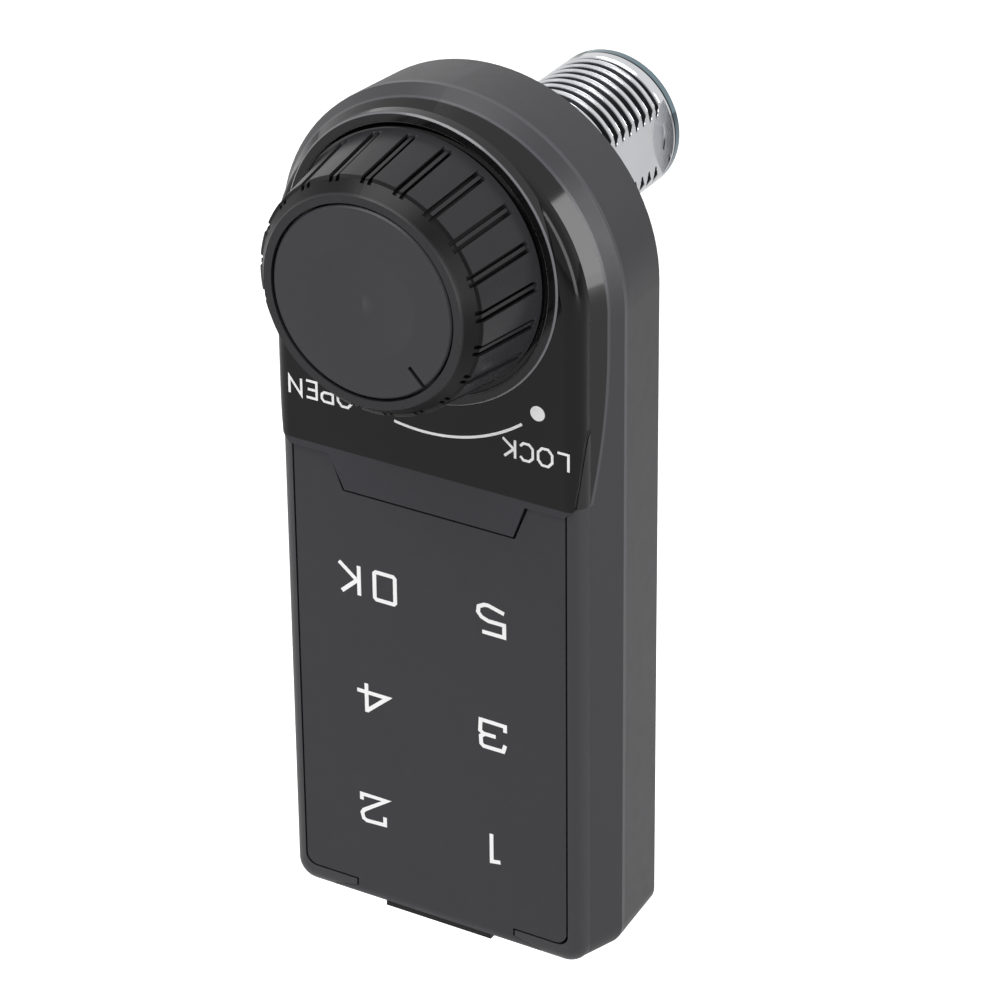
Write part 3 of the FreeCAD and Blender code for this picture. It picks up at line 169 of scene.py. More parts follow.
# Colours
HOUSING = (0.022, 0.0215, 0.0245)
KEYPAD = (0.0225, 0.022, 0.026)
FASCIA = (0.003, 0.003, 0.003)
KNOB = (0.025, 0.025, 0.027)
# Painted shade for the knob's grooves and front band; the cap's index line is coloured with it too
SHADOW = (0.002, 0.002, 0.002)
# Painted highlight on the trim ring's edges
RING_HIGHLIGHT = (0.13, 0.13, 0.14)
# Painted shade in the thread's roots
ROOT_SHADE = (0.012, 0.012, 0.013)
# Painted reflection on the barrel's collar: a blue band and a dark line
REFLECTED_BLUE = (0.17, 0.23, 0.26)
REFLECTED_DARK = (0.01, 0.012, 0.014)
# How much lighter than the housing its painted highlights are
HIGHLIGHT_GAIN = 2.4

# Noise: the part of its range in use, features in a metre, detail, bump strength, spread of roughness
NOISE_LOW = 0.3
NOISE_HIGH = 0.7
PLASTIC_CLOUD = 70.0
PLASTIC_SHEEN = 420.0
METAL_CLOUD = 160.0
CLOUD_DETAIL = 4.0
SHEEN_DETAIL = 5.0
GRAIN_DETAIL = 3.0
PLASTIC_BUMP = 0.8
METAL_BUMP = 0.6
PLASTIC_SPREAD = (0.95, 1.05)
METAL_SPREAD = (0.7, 1.4)

# Studio, in metres and watts. The floor's own glow is what its lit face lacks to be white: more where it is
# seen by the lens than where it is mirrored
WORLD_LIGHT = 0.35
WORLD_SEEN = 1.0
FLOOR_HALF = 3.0
FLOOR_GAP = 0.05
FLOOR_WHITE = (0.8, 0.8, 0.8)
FLOOR_ROUGH = 0.9
FLOOR_GLOW = 0.6
FLOOR_GLOW_MIRRORED = 0.1
AIM = (0.0, -0.01, -0.04)
LAMPS = [
    ("overhead", (-0.15, -0.35, 0.75), 0.7, 0.4, 6.5),
    ("right_side", (0.75, -0.15, 0.20), 0.25, 0.7, 3.5),
    ("left_front", (-0.60, -0.60, 0.15), 0.4, 0.7, 2.0),
]
NEAR_CLIP = 0.01


def node_tree(name):
    """A material with its Principled shader and its node tree."""
    material = bpy.data.materials.new(name)
    material.use_nodes = True
    tree = material.node_tree
    return material, tree, tree.nodes["Principled BSDF"]


def noise(tree, scale, detail, stretch=None):
    """Noise in the object's own coordinates; scale counts the features in a metre."""
    coordinates = tree.nodes.new("ShaderNodeTexCoord")
    texture = tree.nodes.new("ShaderNodeTexNoise")
    texture.inputs["Scale"].default_value = scale
    texture.inputs["Detail"].default_value = detail
    source = coordinates.outputs["Object"]
    if stretch:
        mapping = tree.nodes.new("ShaderNodeMapping")
        mapping.inputs["Scale"].default_value = stretch
        tree.links.new(source, mapping.inputs["Vector"])
        source = mapping.outputs["Vector"]
    tree.links.new(source, texture.inputs["Vector"])
    return texture.outputs["Fac"]


def spread(tree, value, middle, shares):
    """The noise value brought to a range, given as two shares of its middle."""
    low, high = shares
    ranged = tree.nodes.new("ShaderNodeMapRange")
    ranged.inputs["From Min"].default_value = NOISE_LOW
    ranged.inputs["From Max"].default_value = NOISE_HIGH
    ranged.inputs["To Min"].default_value = middle * low
    ranged.inputs["To Max"].default_value = middle * high
    tree.links.new(value, ranged.inputs["Value"])
    return ranged.outputs["Result"]


def blend_colours(tree, factor, first, second):
    """Two colours mixed by a value."""
    mix = tree.nodes.new("ShaderNodeMix")
    mix.data_type = "RGBA"
    mix.inputs["A"].default_value = (*first, 1)
    mix.inputs["B"].default_value = (*second, 1)
    tree.links.new(factor, mix.inputs["Factor"])
    return mix.outputs["Result"]


def shade(colour, amount):
    """The colour made lighter or darker."""
    return tuple(channel * amount for channel in colour)


def mottle(tree, shader, colour, scale, tone):
    """The base colour, with a slight change of tone over the surface."""
    cloud = noise(tree, scale, CLOUD_DETAIL)
    tones = blend_colours(tree, cloud, shade(colour, 1 - tone), shade(colour, 1 + tone))
    tree.links.new(tones, shader.inputs["Base Color"])


def roughen(tree, shader, height, deep, strength):
    """Bump from a height value, as deep as given in millimetres."""
    bump = tree.nodes.new("ShaderNodeBump")
    bump.inputs["Distance"].default_value = deep * MM
    bump.inputs["Strength"].default_value = strength
    tree.links.new(height, bump.inputs["Height"])
    tree.links.new(bump.outputs["Normal"], shader.inputs["Normal"])


def moulded(name, colour, rough, grain=5200.0, deep=0.012, specular=0.5, tone=0.06):
    """Moulded plastic: fine spark grain, uneven sheen and a slight change of tone."""
    material, tree, shader = node_tree(name)
    shader.inputs["Specular IOR Level"].default_value = specular
    mottle(tree, shader, colour, PLASTIC_CLOUD, tone)
    sheen = noise(tree, PLASTIC_SHEEN, SHEEN_DETAIL)
    tree.links.new(spread(tree, sheen, rough, PLASTIC_SPREAD), shader.inputs["Roughness"])
    roughen(tree, shader, noise(tree, grain, GRAIN_DETAIL), deep, PLASTIC_BUMP)
    return material


def metal(name, colour, rough, scratch=900.0, deep=0.003, along=(1.0, 12.0, 1.0), tone=0.08):
    """Metal with fine tool marks drawn out along one direction."""
    material, tree, shader = node_tree(name)
    shader.inputs["Metallic"].default_value = 1.0
    mottle(tree, shader, colour, METAL_CLOUD, tone)
    marks = noise(tree, scratch, CLOUD_DETAIL, along)
    tree.links.new(spread(tree, marks, rough, METAL_SPREAD), shader.inputs["Roughness"])
    roughen(tree, shader, marks, deep, METAL_BUMP)
    return material


def reckon(tree, operation, first, second=0.0):
    """One step of arithmetic on values or plain numbers."""
    step = tree.nodes.new("ShaderNodeMath")
    step.operation = operation
    for socket, value in zip(step.inputs, (first, second)):
        if isinstance(value, float):
            socket.default_value = value
        else:
            tree.links.new(value, socket)
    return step.outputs["Value"]


def rise(tree, value, start, finish):
    """Nought at the start and one at the finish, both in millimetres."""
    ranged = tree.nodes.new("ShaderNodeMapRange")
    ranged.inputs["From Min"].default_value = start * MM
    ranged.inputs["From Max"].default_value = finish * MM
    tree.links.new(value, ranged.inputs["Value"])
    return ranged.outputs["Result"]


def product(tree, first, second):
    """Two values multiplied."""
    return reckon(tree, "MULTIPLY", first, second)


def reach_of(tree, across, up):
    """The length of the line to a point, from its two distances."""
    squares = reckon(tree, "ADD", product(tree, across, across), product(tree, up, up))
    return reckon(tree, "SQRT", squares)


def where(tree):
    """A point's x, y and z in the lock's own frame, and its distance from the barrel's axis."""
    coordinates = tree.nodes.new("ShaderNodeTexCoord")
    parts = tree.nodes.new("ShaderNodeSeparateXYZ")
    tree.links.new(coordinates.outputs["Object"], parts.inputs["Vector"])
    x, y, z = parts.outputs
    return SimpleNamespace(x=x, y=y, z=z, radius=reach_of(tree, x, z))


def overlay(material, mask, colour, rough):
    """Another colour and roughness where the mask is one."""
    tree = material.node_tree
    shader = tree.nodes["Principled BSDF"]
    tint = tree.nodes.new("ShaderNodeMix")
    tint.data_type = "RGBA"
    tree.links.new(mask, tint.inputs["Factor"])
    tree.links.new(shader.inputs["Base Color"].links[0].from_socket, tint.inputs["A"])
    tint.inputs["B"].default_value = (*colour, 1)
    tree.links.new(tint.outputs["Result"], shader.inputs["Base Color"])
    sheen = tree.nodes.new("ShaderNodeMix")
    tree.links.new(mask, sheen.inputs["Factor"])
    tree.links.new(shader.inputs["Roughness"].links[0].from_socket, sheen.inputs["A"])
    sheen.inputs["B"].default_value = rough
    tree.links.new(sheen.outputs["Result"], shader.inputs["Roughness"])


def polish(material, mask):
    """No grain where the mask is one."""
    tree = material.node_tree
    bump = tree.nodes["Principled BSDF"].inputs["Normal"].links[0].from_node
    strength = bump.inputs["Strength"]
    left = reckon(tree, "SUBTRACT", 1.0, mask)
    tree.links.new(product(tree, left, strength.default_value), strength)


def dress(material, *names):
    """Puts the material on every slot of the named parts."""
    for name in names:
        for slot in nodes[name].material_slots:
            slot.material = material


housing_grey = moulded("housing_grey", HOUSING, 0.42, specular=0.4)
cover_grey = moulded("cover_grey", HOUSING, 0.42, specular=0.4)
keypad_charcoal = moulded("keypad_charcoal", KEYPAD, 0.55, specular=0.3)
fascia_black = moulded("fascia_black", FASCIA, 0.10, grain=900.0, deep=0.0006, specular=0.2, tone=0.1)
knob_dark = moulded("knob_dark", KNOB, 0.28, deep=0.006, specular=0.15)
cap_dark = moulded("cap_dark", shade(KEYPAD, 1.1), 0.42, specular=0.3)
ring_dark = moulded("ring_dark", shade(KNOB, 0.2), 0.15, deep=0.002, specular=0.3)
lip_black = moulded("lip_black", (0.004, 0.004, 0.004), 0.35, specular=0.2)
white_print = moulded("white_print", (0.80, 0.80, 0.80), 0.5, grain=3000.0, deep=0.002, specular=0.3,
                      tone=0.02)
barrel_chrome = metal("barrel_chrome", (0.62, 0.63, 0.65), 0.10)
steel = metal("steel", (0.52, 0.53, 0.55), 0.28)
zinc_screw = metal("zinc_screw", (0.60, 0.61, 0.62), 0.32)
brass_part = metal("brass_part", (0.68, 0.48, 0.20), 0.28)
natural_plastic = moulded("natural_plastic", (0.62, 0.60, 0.54), 0.45)
black_plastic = moulded("black_plastic", (0.020, 0.020, 0.021), 0.45)
cell_jacket = moulded("cell_jacket", (0.10, 0.20, 0.36), 0.30, grain=1500.0, deep=0.002)
board_green = moulded("board_green", (0.012, 0.085, 0.035), 0.35, grain=2600.0, deep=0.004)
copper_pad = metal("copper_pad", (0.62, 0.33, 0.18), 0.34)


def housing_tones():
    """Painted highlights on the housing's ridge and the black's edge; the head's gloss covers the skirt's
    upper half.
    """
    tree = housing_grey.node_tree
    at = where(tree)
    ridge_highlight = product(tree, rise(tree, at.y, -RIDGE_AHEAD - EDGE_BLUR, -RIDGE_AHEAD),
                    rise(tree, at.y, RIDGE_BAND - RIDGE_AHEAD + EDGE_BLUR, RIDGE_BAND - RIDGE_AHEAD))
    overlay(housing_grey, ridge_highlight, shade(HOUSING, HIGHLIGHT_GAIN), rough=0.35)
    tree = cover_grey.node_tree
    at = where(tree)
    above = reckon(tree, "MAXIMUM", reckon(tree, "ADD", at.z, HEAD_DROP * MM), 0.0)
    below = reckon(tree, "MAXIMUM", reckon(tree, "SUBTRACT", -BLACK_WAIST * MM, at.z), 0.0)
    lean = BLACK_LEAN / (BLACK_FOOT - BLACK_WAIST) ** 2 / MM
    lean = product(tree, product(tree, below, below), lean)
    reach = reckon(tree, "ADD", reach_of(tree, at.x, above), lean)
    head = rise(tree, at.z, -BLACK_FOOT, TONE_BLUR - BLACK_FOOT)
    # A painted highlight line just outside the edge of the black
    rim = BLACK_REACH + HIGHLIGHT_LINE
    edge = product(tree, head, rise(tree, reach, rim, rim - EDGE_BLUR))
    overlay(cover_grey, edge, shade(HOUSING, HIGHLIGHT_GAIN), rough=0.3)
    gloss = product(tree, head, rise(tree, reach, BLACK_REACH, BLACK_REACH - EDGE_BLUR))
    overlay(cover_grey, gloss, FASCIA, rough=0.1)
    polish(cover_grey, gloss)


def ring_tones():
    """Painted highlights on the trim ring's two edges."""
    tree = ring_dark.node_tree
    at = where(tree)
    offset = reckon(tree, "ABSOLUTE", reckon(tree, "SUBTRACT", at.radius, RING_MIDDLE * MM))
    bevel_highlights = product(tree, rise(tree, offset, RING_HALF, RING_HALF_FULL),
                     rise(tree, at.y, -RING_BEVEL, -RING_BEVEL - RING_BLUR))
    overlay(ring_dark, bevel_highlights, RING_HIGHLIGHT, rough=0.2)


def fascia_tones():
    """The fascia's foot, which slopes down to the keypad, is satin like the keypad."""
    tree = fascia_black.node_tree
    foot = rise(tree, where(tree).z, GLOSS_FOOT, GLOSS_FOOT - GLOSS_BLUR)
    overlay(fascia_black, foot, shade(KEYPAD, 1.25), rough=0.5)


def knob_tones():
    """Painted shade in the grooves between the knob's panels and on a band in front of them."""
    tree = knob_dark.node_tree
    at = where(tree)
    flare = (KNOB_FOOT_RADIUS - KNOB_FRONT_RADIUS) / (PANEL_EDGE - KNOB_FOOT)
    skin = reckon(tree, "SUBTRACT", at.radius, product(tree, at.y, flare))
    level = KNOB_FRONT_RADIUS + flare * PANEL_EDGE
    groove_shade = product(tree, rise(tree, skin, level - GROOVE_TOP, level - GROOVE_FULL),
                      rise(tree, at.y, -PANEL_EDGE - PANEL_BLUR, PANEL_BLUR - PANEL_EDGE))
    painted_band = product(tree, rise(tree, at.y, -PANEL_EDGE, -PANEL_EDGE - EDGE_BLUR),
                   rise(tree, at.radius, RIM_RADIUS + EDGE_BLUR, RIM_RADIUS + BAND_FULL))
    overlay(knob_dark, reckon(tree, "MAXIMUM", groove_shade, painted_band), SHADOW, rough=0.35)


def cap_tones():
    """The index line cut in the cap is dark."""
    tree = cap_dark.node_tree
    overlay(cap_dark, rise(tree, where(tree).y, INDEX_FLOOR, INDEX_TOP), SHADOW, rough=0.5)


def barrel_tones():
    """Painted shade in the thread's roots; painted reflection on the collar, a dark line and a steel-blue
    band.
    """
    tree = barrel_chrome.node_tree
    at = where(tree)
    across = reckon(tree, "ABSOLUTE", at.x)
    root_shade = product(tree, rise(tree, at.radius, BARREL_RADIUS - ROOT_TOP, BARREL_RADIUS - ROOT_FULL),
                    rise(tree, across, FLATS / 2 - FLAT_EDGE, FLATS / 2 - FLAT_EDGE_FULL))
    root_shade = product(tree, root_shade, rise(tree, at.y, THREAD_END, THREAD_END - TONE_BLUR))
    overlay(barrel_chrome, root_shade, ROOT_SHADE, rough=0.3)
    outside = rise(tree, at.radius, COUNTERBORE_RADIUS + TONE_BLUR, COUNTERBORE_RADIUS + 2 * TONE_BLUR)
    painted_band = product(tree, rise(tree, at.y, BAND_START, BAND_START + EDGE_BLUR), outside)
    overlay(barrel_chrome, painted_band, REFLECTED_BLUE, rough=0.12)
    line_end = BAND_START + BAND_LINE
    line = product(tree, painted_band, rise(tree, at.y, line_end + EDGE_BLUR, line_end - EDGE_BLUR))
    overlay(barrel_chrome, line, REFLECTED_DARK, rough=0.3)


housing_tones()
ring_tones()
fascia_tones()
knob_tones()
cap_tones()
barrel_tones()

dress(housing_grey, "rear_housing")
dress(cover_grey, "front_cover")
dress(fascia_black, "head_fascia")
dress(ring_dark, "trim_ring")
dress(knob_dark, "knob_body")
dress(cap_dark, "knob_cap")
dress(keypad_charcoal, "keypad_cover")
dress(lip_black, "release_lip")
dress(barrel_chrome, "lock_barrel")
dress(steel, "rotor", "locking_disc", "disc_spacer", "rotor_circlip", "stop_pin", "lead_screw", "motor_case",
      "contact_bridge", "contact_plus", "contact_minus", "lock_pin")
dress(zinc_screw, "barrel_screws", "knob_screw", "guide_screws", "strap_screws", "board_screws",
      "case_screws")
dress(brass_part, "knob_bush", "sprung_pins")
dress(natural_plastic, "pin_guide")
dress(black_plastic, "motor_strap", "battery_tray", "board_chips", "buzzer", "pin_header")
dress(cell_jacket, "battery_left", "battery_right")
dress(board_green, "control_board", "touch_board")
dress(copper_pad, "touch_pads")


def place(mesh_object, body, material):
    """Hangs a finished piece on its body and gives it its finish."""
    mesh_object.data.materials.clear()
    mesh_object.data.materials.append(material)
    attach(mesh_object, body)


def new_piece(name, shape):
    """A piece from a bmesh in metres."""
    mesh = bpy.data.meshes.new(name)
    shape.to_mesh(mesh)
    shape.free()
    piece = bpy.data.objects.new(name, mesh)
    bpy.context.scene.collection.objects.link(piece)
    return piece


# The barrel with its thread


def flat_limit(angle):
    """How far out the two flats let the barrel reach at this angle about its axis."""
    across = abs(math.cos(angle))
    if across * BARREL_RADIUS <= FLATS / 2:
        return BARREL_RADIUS
    return FLATS / 2 / across


def thread_depth(turn):
    """Depth of the thread over one pitch: a narrow crest, straight flanks and a narrow root."""
    position = abs((turn % 1.0) - 0.5) * 2
    return THREAD_DEEP * min(max((position - CREST_SHARE) / FLANK_SHARE, 0.0), 1.0)


def barrel_angles():
    """Angles about the axis, with one column on each edge of the flats."""
    edge = math.acos(FLATS / 2 / BARREL_RADIUS)
    stops = [-edge, edge, math.pi - edge, math.pi + edge, 2 * math.pi - edge]
    angles = []
    for start, stop in zip(stops, stops[1:]):
        steps = round((stop - start) / math.radians(COLUMN_STEP))
        for step in range(steps):
            angles.append(start + (stop - start) * step / steps)
    return angles


def threaded_barrel():
    """The barrel with its thread cut round the two flats, its collar, its bore and its inner flange."""
    low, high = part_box("lock_barrel")
    end = high.y / MM
    flange_radius = high.x / MM
    flange_front = low.y / MM
    flange_back = flange_front + FLANGE_THICK
    collar = end - COLLAR_LENGTH
    angles = barrel_angles()
    spans = len(angles)
    step = THREAD_PITCH / ROWS_A_TURN
    rows = math.ceil((THREAD_END - THREAD_START) / step)
    shape = bmesh.new()

    def vertex(radius, along, angle):
        return shape.verts.new((radius * math.cos(angle) * MM, along * MM, radius * math.sin(angle) * MM))

    def threaded(row, column):
        angle = angles[column]
        turn = (angle - angles[0]) / (2 * math.pi)
        along = min(max(THREAD_START + row * step + turn * THREAD_PITCH, THREAD_START), THREAD_END)
        fade = min((along - THREAD_START) / THREAD_PITCH, (THREAD_END - along) / FADE_OUT, 1.0)
        depth = thread_depth(row / ROWS_A_TURN) * fade
        return vertex(min(BARREL_RADIUS - depth, flat_limit(angle)), along, angle)

    helix = {}
    for row in range(-ROWS_A_TURN, rows + ROWS_A_TURN + 1):
        for column in range(spans):
            helix[row, column] = threaded(row, column)
    for row in range(-ROWS_A_TURN, rows + 1):
        for column in range(spans):
            beside = column + 1
            shift = 0
            if beside == spans:
                beside = 0
                shift = ROWS_A_TURN
            corners = [(row, column), (row + shift, beside), (row + shift + 1, beside), (row + 1, column)]
            if all(corner in helix for corner in corners):
                shape.faces.new([helix[corner] for corner in corners])

    profile = [
        (BARREL_RADIUS, THREAD_END, True), (BARREL_RADIUS, collar, True),
        (BARREL_RADIUS, collar, False), (BARREL_RADIUS, end - CHAMFER, False),
        (BARREL_RADIUS - CHAMFER, end, False), (COUNTERBORE_RADIUS, end, False),
        (COUNTERBORE_RADIUS, end - COUNTERBORE_DEEP, False), (BORE_RADIUS, end - COUNTERBORE_DEEP, False),
        (BORE_RADIUS, flange_front, False), (flange_radius, flange_front, False),
        (flange_radius, flange_back, False), (BARREL_RADIUS, flange_back, True),
        (BARREL_RADIUS, THREAD_START, True),
    ]
    rings = []
    for radius, along, flattened in profile:
        ring = []
        for angle in angles:
            ring.append(vertex(min(radius, flat_limit(angle)) if flattened else radius, along, angle))
        rings.append(ring)
    for first, second in zip(rings, rings[1:]):
        for column in range(spans):
            beside = (column + 1) % spans
            shape.faces.new([first[column], first[beside], second[beside], second[column]])
    bmesh.ops.remove_doubles(shape, verts=shape.verts, dist=SAME_PLACE)
    bmesh.ops.dissolve_degenerate(shape, dist=SAME_PLACE, edges=shape.edges)
    bmesh.ops.recalc_face_normals(shape, faces=shape.faces)
    barrel = new_piece("threaded_barrel", shape)
    drill_flange(barrel, flange_front, flange_back)
    smooth_by_angle(barrel, SHARP_EDGE)
    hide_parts("lock_barrel")
    place(barrel, "housing", barrel_chrome)


def drill_flange(barrel, front, back):
    """Cuts the flange's screw holes, right through, and the stop pin's hole, down to the back wall."""
    holes = []
    for screw in range(FLANGE_SCREWS):
        angle = math.radians(FIRST_FLANGE_SCREW + 360 / FLANGE_SCREWS * screw)
        x = FLANGE_SCREW_RING * math.cos(angle)
        z = FLANGE_SCREW_RING * math.sin(angle)
        holes.append((x, z, FLANGE_HOLE_RADIUS, back + CUT_PAST))
    holes.append((0.0, STOP_RING, STOP_HOLE_RADIUS, back))
    cutters = bmesh.new()
    for x, z, radius, bottom in holes:
        rim = []
        for corner in range(HOLE_CORNERS):
            turn = 2 * math.pi * corner / HOLE_CORNERS
            rim.append((x + radius * math.cos(turn), z + radius * math.sin(turn)))
        prism(cutters, rim, front - CUT_PAST, bottom)
    bmesh.ops.recalc_face_normals(cutters, faces=cutters.faces)
    cut_with(barrel, new_piece("flange_cutters", cutters))


def prism(shape, rim, front, back):
    """A closed prism along Y from its outline, which is given as (x, z) corners."""
    ends = []
    for along in (front, back):
        ends.append([shape.verts.new((x * MM, along * MM, z * MM)) for x, z in rim])
    shape.faces.new(ends[0][::-1])
    shape.faces.new(ends[1])
    for corner in range(len(rim)):
        beside = (corner + 1) % len(rim)
        shape.faces.new([ends[0][corner], ends[0][beside], ends[1][beside], ends[1][corner]])


def cut_with(target, tool):
    """Takes the tool's space out of the target and removes the tool."""
    modifier = target.modifiers.new("cut", "BOOLEAN")
    modifier.operation = "DIFFERENCE"
    modifier.solver = "EXACT"
    modifier.object = tool
    graph = bpy.context.evaluated_depsgraph_get()
    cut_mesh = bpy.data.meshes.new_from_object(target.evaluated_get(graph))
    target.modifiers.clear()
    target.data = cut_mesh
    bpy.data.objects.remove(tool)


def smooth_by_angle(piece, degrees):
    """Smooth shading, with the edges that turn more than the angle kept sharp."""
    shape = bmesh.new()
    shape.from_mesh(piece.data)
    limit = math.radians(degrees)
    for face in shape.faces:
        face.smooth = True
    for edge in shape.edges:
        edge.smooth = len(edge.link_faces) == 2 and edge.calc_face_angle() < limit
    shape.to_mesh(piece.data)
    shape.free()


threaded_barrel()


# Print


def ribbon(shape, points, width, plane, closed=False, extra=0.0):
    """A raised stroke of even width along the points, mitred at its corners, standing on a plane y. The extra
    height keeps strokes that cross apart."""
    count = len(points)
    left = []
    right = []
    for index, point in enumerate(points):
        before = points[index - 1] if index or closed else None
        after = points[(index + 1) % count] if index < count - 1 or closed else None
        directions = []
        if before:
            directions.append(unit(point[0] - before[0], point[1] - before[1]))
        if after:
            directions.append(unit(after[0] - point[0], after[1] - point[1]))
        across = unit(sum(d[0] for d in directions), sum(d[1] for d in directions))
        lean = across[0] * directions[0][0] + across[1] * directions[0][1]
        reach = width / 2 / max(lean, SHARPEST_CORNER)
        left.append((point[0] - across[1] * reach, point[1] + across[0] * reach))
        right.append((point[0] + across[1] * reach, point[1] - across[0] * reach))
    front = plane - PRINT_THICK - extra
    corners = []
    for a, b in zip(left, right):
        section = [(a, plane), (a, front), (b, front), (b, plane)]
        corners.append([shape.verts.new((side[0] * MM, along * MM, side[1] * MM)) for side, along in section])
    pairs = list(zip(corners, corners[1:]))
    if closed:
        pairs.append((corners[-1], corners[0]))
    else:
        shape.faces.new(corners[0])
        shape.faces.new(list(reversed(corners[-1])))
    for first, second in pairs:
        for side in range(4):
            beside = (side + 1) % 4
            shape.faces.new([first[side], first[beside], second[beside], second[side]])


def unit(x, z):
    """The direction with length one."""
    length = math.hypot(x, z)
    return x / length, z / length


# Each sign's width, and its strokes in a cell 4 high, read upright, each with whether it closes on itself
CELL = 4.0
GLYPHS = {
    "1": (1.3, [
        ([(0, 3.9), (1.3, 4.1), (1.3, -0.1)], False),
    ]),
    "2": (3.9, [
        ([(3.9, 0.9), (3.9, 0), (0.1, 0), (3.6, 2.4), (3.9, 2.9), (3.7, 3.7), (3.2, 3.95), (0.4, 3.8),
          (0.4, 2.6)], False),
    ]),
    "3": (3.7, [
        ([(0, 1), (0, 0.1), (3.6, 0.05), (3.7, 1.7), (3.2, 2.05), (1.4, 2.05)], False),
        ([(3.0, 2.05), (3.6, 2.5), (3.55, 3.6), (3.2, 3.9), (0.3, 3.9), (0, 2.9)], False),
    ]),
    "4": (4.8, [
        ([(4.8, 1.2), (0.2, 1.2), (3.4, 4.0)], False),
        ([(3.4, 4.2), (3.4, -0.1)], False),
    ]),
    "5": (3.8, [
        ([(3.2, 4), (0, 4), (0, 2.25), (2.3, 2.25), (3.3, 1.9), (3.8, 1.3), (3.7, 0.5), (2.9, 0.05),
          (2.3, 0), (0, 0.6)], False),
    ]),
    "O": (3.05, [
        ([(0.25, 0), (2.8, 0), (3.05, 0.25), (3.05, 3.75), (2.8, 4), (0.25, 4), (0, 3.75), (0, 0.25)], True),
    ]),
    "K": (2.9, [
        ([(0, -0.15), (0, 4.15)], False),
        ([(2.6, 4.1), (0.3, 2.0), (2.95, -0.1)], False),
    ]),
    "L": (2.6, [
        ([(0, 4), (0, 0), (2.6, 0)], False),
    ]),
    "C": (3.0, [
        ([(3.0, 3.2), (2.3, 4), (0.9, 4), (0, 3.1), (0, 0.9), (0.9, 0), (2.3, 0), (3.0, 0.8)], False),
    ]),
    "P": (2.8, [
        ([(0, 0), (0, 4), (2.2, 4), (2.8, 3.4), (2.8, 2.4), (2.2, 1.8)], False),
        ([(2.3, 1.8), (0, 1.8)], False),
    ]),
    "E": (2.6, [
        ([(2.6, 4), (0, 4), (0, 0), (2.6, 0)], False),
        ([(0, 2), (2.2, 2)], False),
    ]),
    "N": (3.0, [
        ([(0, 0), (0, 4), (3.0, 0), (3.0, 4)], False),
    ]),
}
ROUND_O = (3.4, [
    ([(0, 1.1), (0.95, 0), (2.45, 0), (3.4, 1.1), (3.4, 2.9), (2.45, 4), (0.95, 4), (0, 2.9)], True),
])


def set_print(name, shape, body):
    """A printed mark from a bmesh, in white."""
    bmesh.ops.recalc_face_normals(shape, faces=shape.faces)
    place(new_piece(name, shape), body, white_print)


def print_word(name, text, centre, height, stroke, space, plane, body, round_letters=False):
    """A word or a digit on a plane y, upside down as it is on the lock."""
    glyphs = [ROUND_O if letter == "O" and round_letters else GLYPHS[letter] for letter in text]
    scale = height / CELL
    total = sum(width for width, strokes in glyphs) * scale + space * (len(glyphs) - 1)
    shape = bmesh.new()
    start = -total / 2
    for width, strokes in glyphs:
        for order, (points, closed) in enumerate(strokes):
            placed = [(centre[0] - start - x * scale, centre[1] - (z - CELL / 2) * scale) for x, z in points]
            ribbon(shape, placed, stroke, plane, closed, STROKE_LIFT * order)
        start += width * scale + space
    set_print(name, shape, body)


def keypad_print():
    """OK and the digits on the touch keypad."""
    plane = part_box("keypad_cover")[0].y / MM
    for name, text, across, row in KEYS:
        height = FIRST_ROW - ROW_PITCH * row
        if text == "OK":
            height += OK_RAISED
        print_word(name, text, (across, height), DIGIT_HEIGHT, DIGIT_STROKE, DIGIT_SPACE, plane, "cover")


def head_print():
    """LOCK, OPEN, the arc between them and the dot, on the glossy head."""
    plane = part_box("head_fascia")[0].y / MM
    for name, text, centre in (("word_lock", "LOCK", LOCK_PLACE), ("word_open", "OPEN", OPEN_PLACE)):
        print_word(name, text, centre, WORD_HEIGHT, WORD_STROKE, WORD_SPACE, plane, "housing",
                   round_letters=True)
    arc = bmesh.new()
    points = []
    for step in range(ARC_STEPS + 1):
        angle = math.radians(ARC_FROM + (ARC_TO - ARC_FROM) * step / ARC_STEPS)
        points.append((ARC_RADIUS * math.cos(angle), ARC_RADIUS * math.sin(angle)))
    ribbon(arc, points, ARC_STROKE, plane)
    set_print("turn_arc", arc, "housing")
    dot = bmesh.new()
    rim = []
    for corner in range(DOT_CORNERS):
        angle = 2 * math.pi * corner / DOT_CORNERS
        rim.append((DOT_PLACE[0] + DOT_RADIUS * math.cos(angle), DOT_PLACE[1] + DOT_RADIUS * math.sin(angle)))
    prism(dot, rim, plane - PRINT_THICK, plane)
    set_print("lock_dot", dot, "housing")


keypad_print()
head_print()


# Studio


def soft_box(name, stand, width, height, power):
    """A rectangular lamp turned towards the lock."""
    lamp = bpy.data.lights.new(name, "AREA")
    lamp.shape = "RECTANGLE"
    lamp.size = width
    lamp.size_y = height
    lamp.energy = power
    holder = bpy.data.objects.new(name, lamp)
    holder.location = stand
    direction = Vector(stand) - Vector(AIM)
    holder.rotation_euler = direction.to_track_quat("Z", "Y").to_euler()
    bpy.context.scene.collection.objects.link(holder)


def ray_kinds(tree):
    """Two values that are one for the lens's rays, and for mirrored and transmitted rays."""
    path = tree.nodes.new("ShaderNodeLightPath")
    mirrored = reckon(tree, "MAXIMUM", path.outputs["Is Glossy Ray"], path.outputs["Is Transmission Ray"])
    return path.outputs["Is Camera Ray"], mirrored


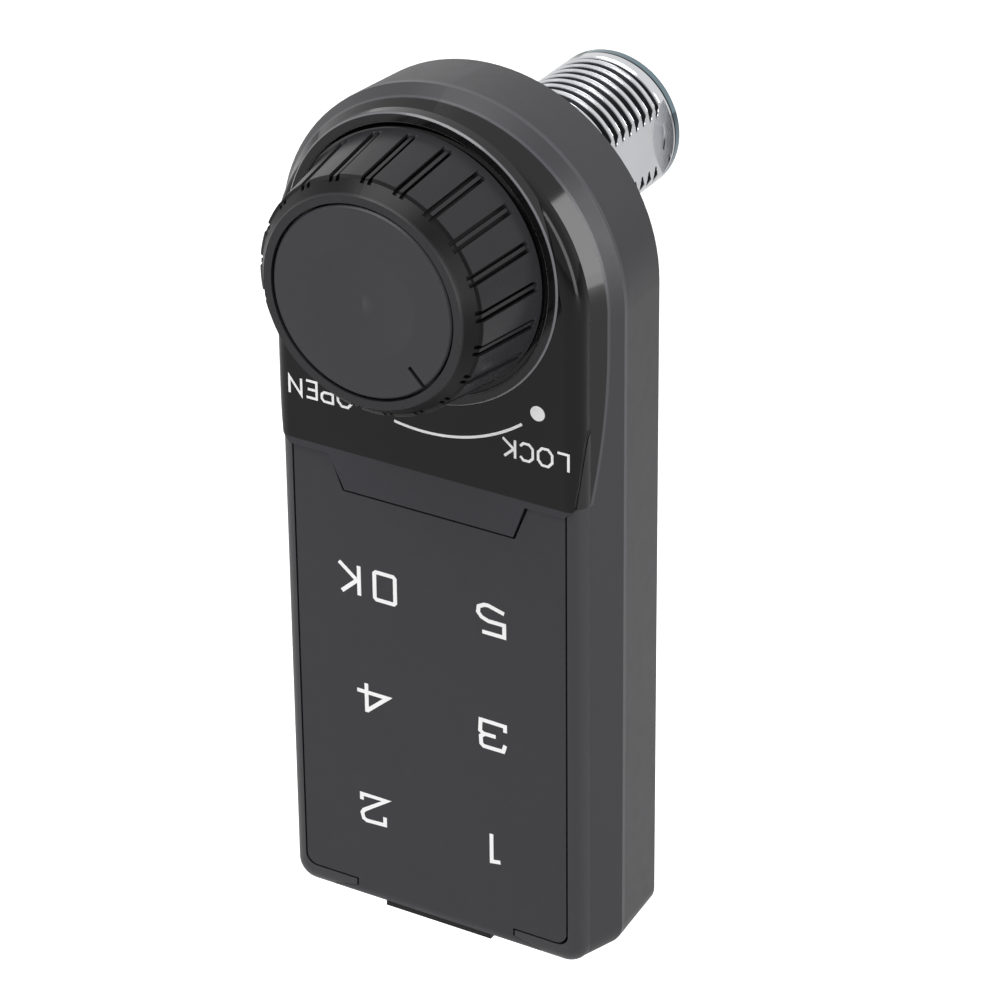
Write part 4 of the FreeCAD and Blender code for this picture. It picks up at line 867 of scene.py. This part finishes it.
def surroundings():
    """A world that lights softly and that the lens sees as white."""
    world = bpy.data.worlds.new("studio")
    world.use_nodes = True
    bpy.context.scene.world = world
    tree = world.node_tree
    background = tree.nodes["Background"]
    background.inputs["Color"].default_value = (1, 1, 1, 1)
    strength = tree.nodes.new("ShaderNodeMapRange")
    strength.inputs["To Min"].default_value = WORLD_LIGHT
    strength.inputs["To Max"].default_value = WORLD_SEEN
    seen, mirrored = ray_kinds(tree)
    tree.links.new(reckon(tree, "MAXIMUM", seen, mirrored), strength.inputs["Value"])
    tree.links.new(strength.outputs["Result"], background.inputs["Strength"])


def studio_floor():
    """A pale floor below the lock that keeps its shadow."""
    low = cad_box[0][2] - FLOOR_GAP
    shape = bmesh.new()
    signs = ((-1, -1), (1, -1), (1, 1), (-1, 1))
    shape.faces.new([shape.verts.new((x * FLOOR_HALF, y * FLOOR_HALF, low)) for x, y in signs])
    floor = new_piece("studio_floor", shape)
    material, tree, shader = node_tree("studio_floor")
    shader.inputs["Base Color"].default_value = (*FLOOR_WHITE, 1)
    shader.inputs["Roughness"].default_value = FLOOR_ROUGH
    shader.inputs["Specular IOR Level"].default_value = 0.0
    shader.inputs["Emission Color"].default_value = (1, 1, 1, 1)
    seen, mirrored = ray_kinds(tree)
    glow = reckon(tree, "ADD", product(tree, seen, FLOOR_GLOW), product(tree, mirrored, FLOOR_GLOW_MIRRORED))
    tree.links.new(glow, shader.inputs["Emission Strength"])
    floor.data.materials.append(material)


def photo_camera():
    """The camera at the photograph's place, with its lens."""
    lens = bpy.data.cameras.new("photo_camera")
    lens.lens = LENS
    lens.sensor_width = SENSOR
    lens.clip_start = NEAR_CLIP
    camera = bpy.data.objects.new("photo_camera", lens)
    camera.location = CAMERA_PLACE
    camera.rotation_euler = [math.radians(angle) for angle in CAMERA_TURN]
    bpy.context.scene.collection.objects.link(camera)
    bpy.context.scene.camera = camera


bpy.context.scene.view_settings.view_transform = "Standard"
surroundings()
studio_floor()
for name, stand, width, height, power in LAMPS:
    soft_box(name, stand, width, height, power)
photo_camera()
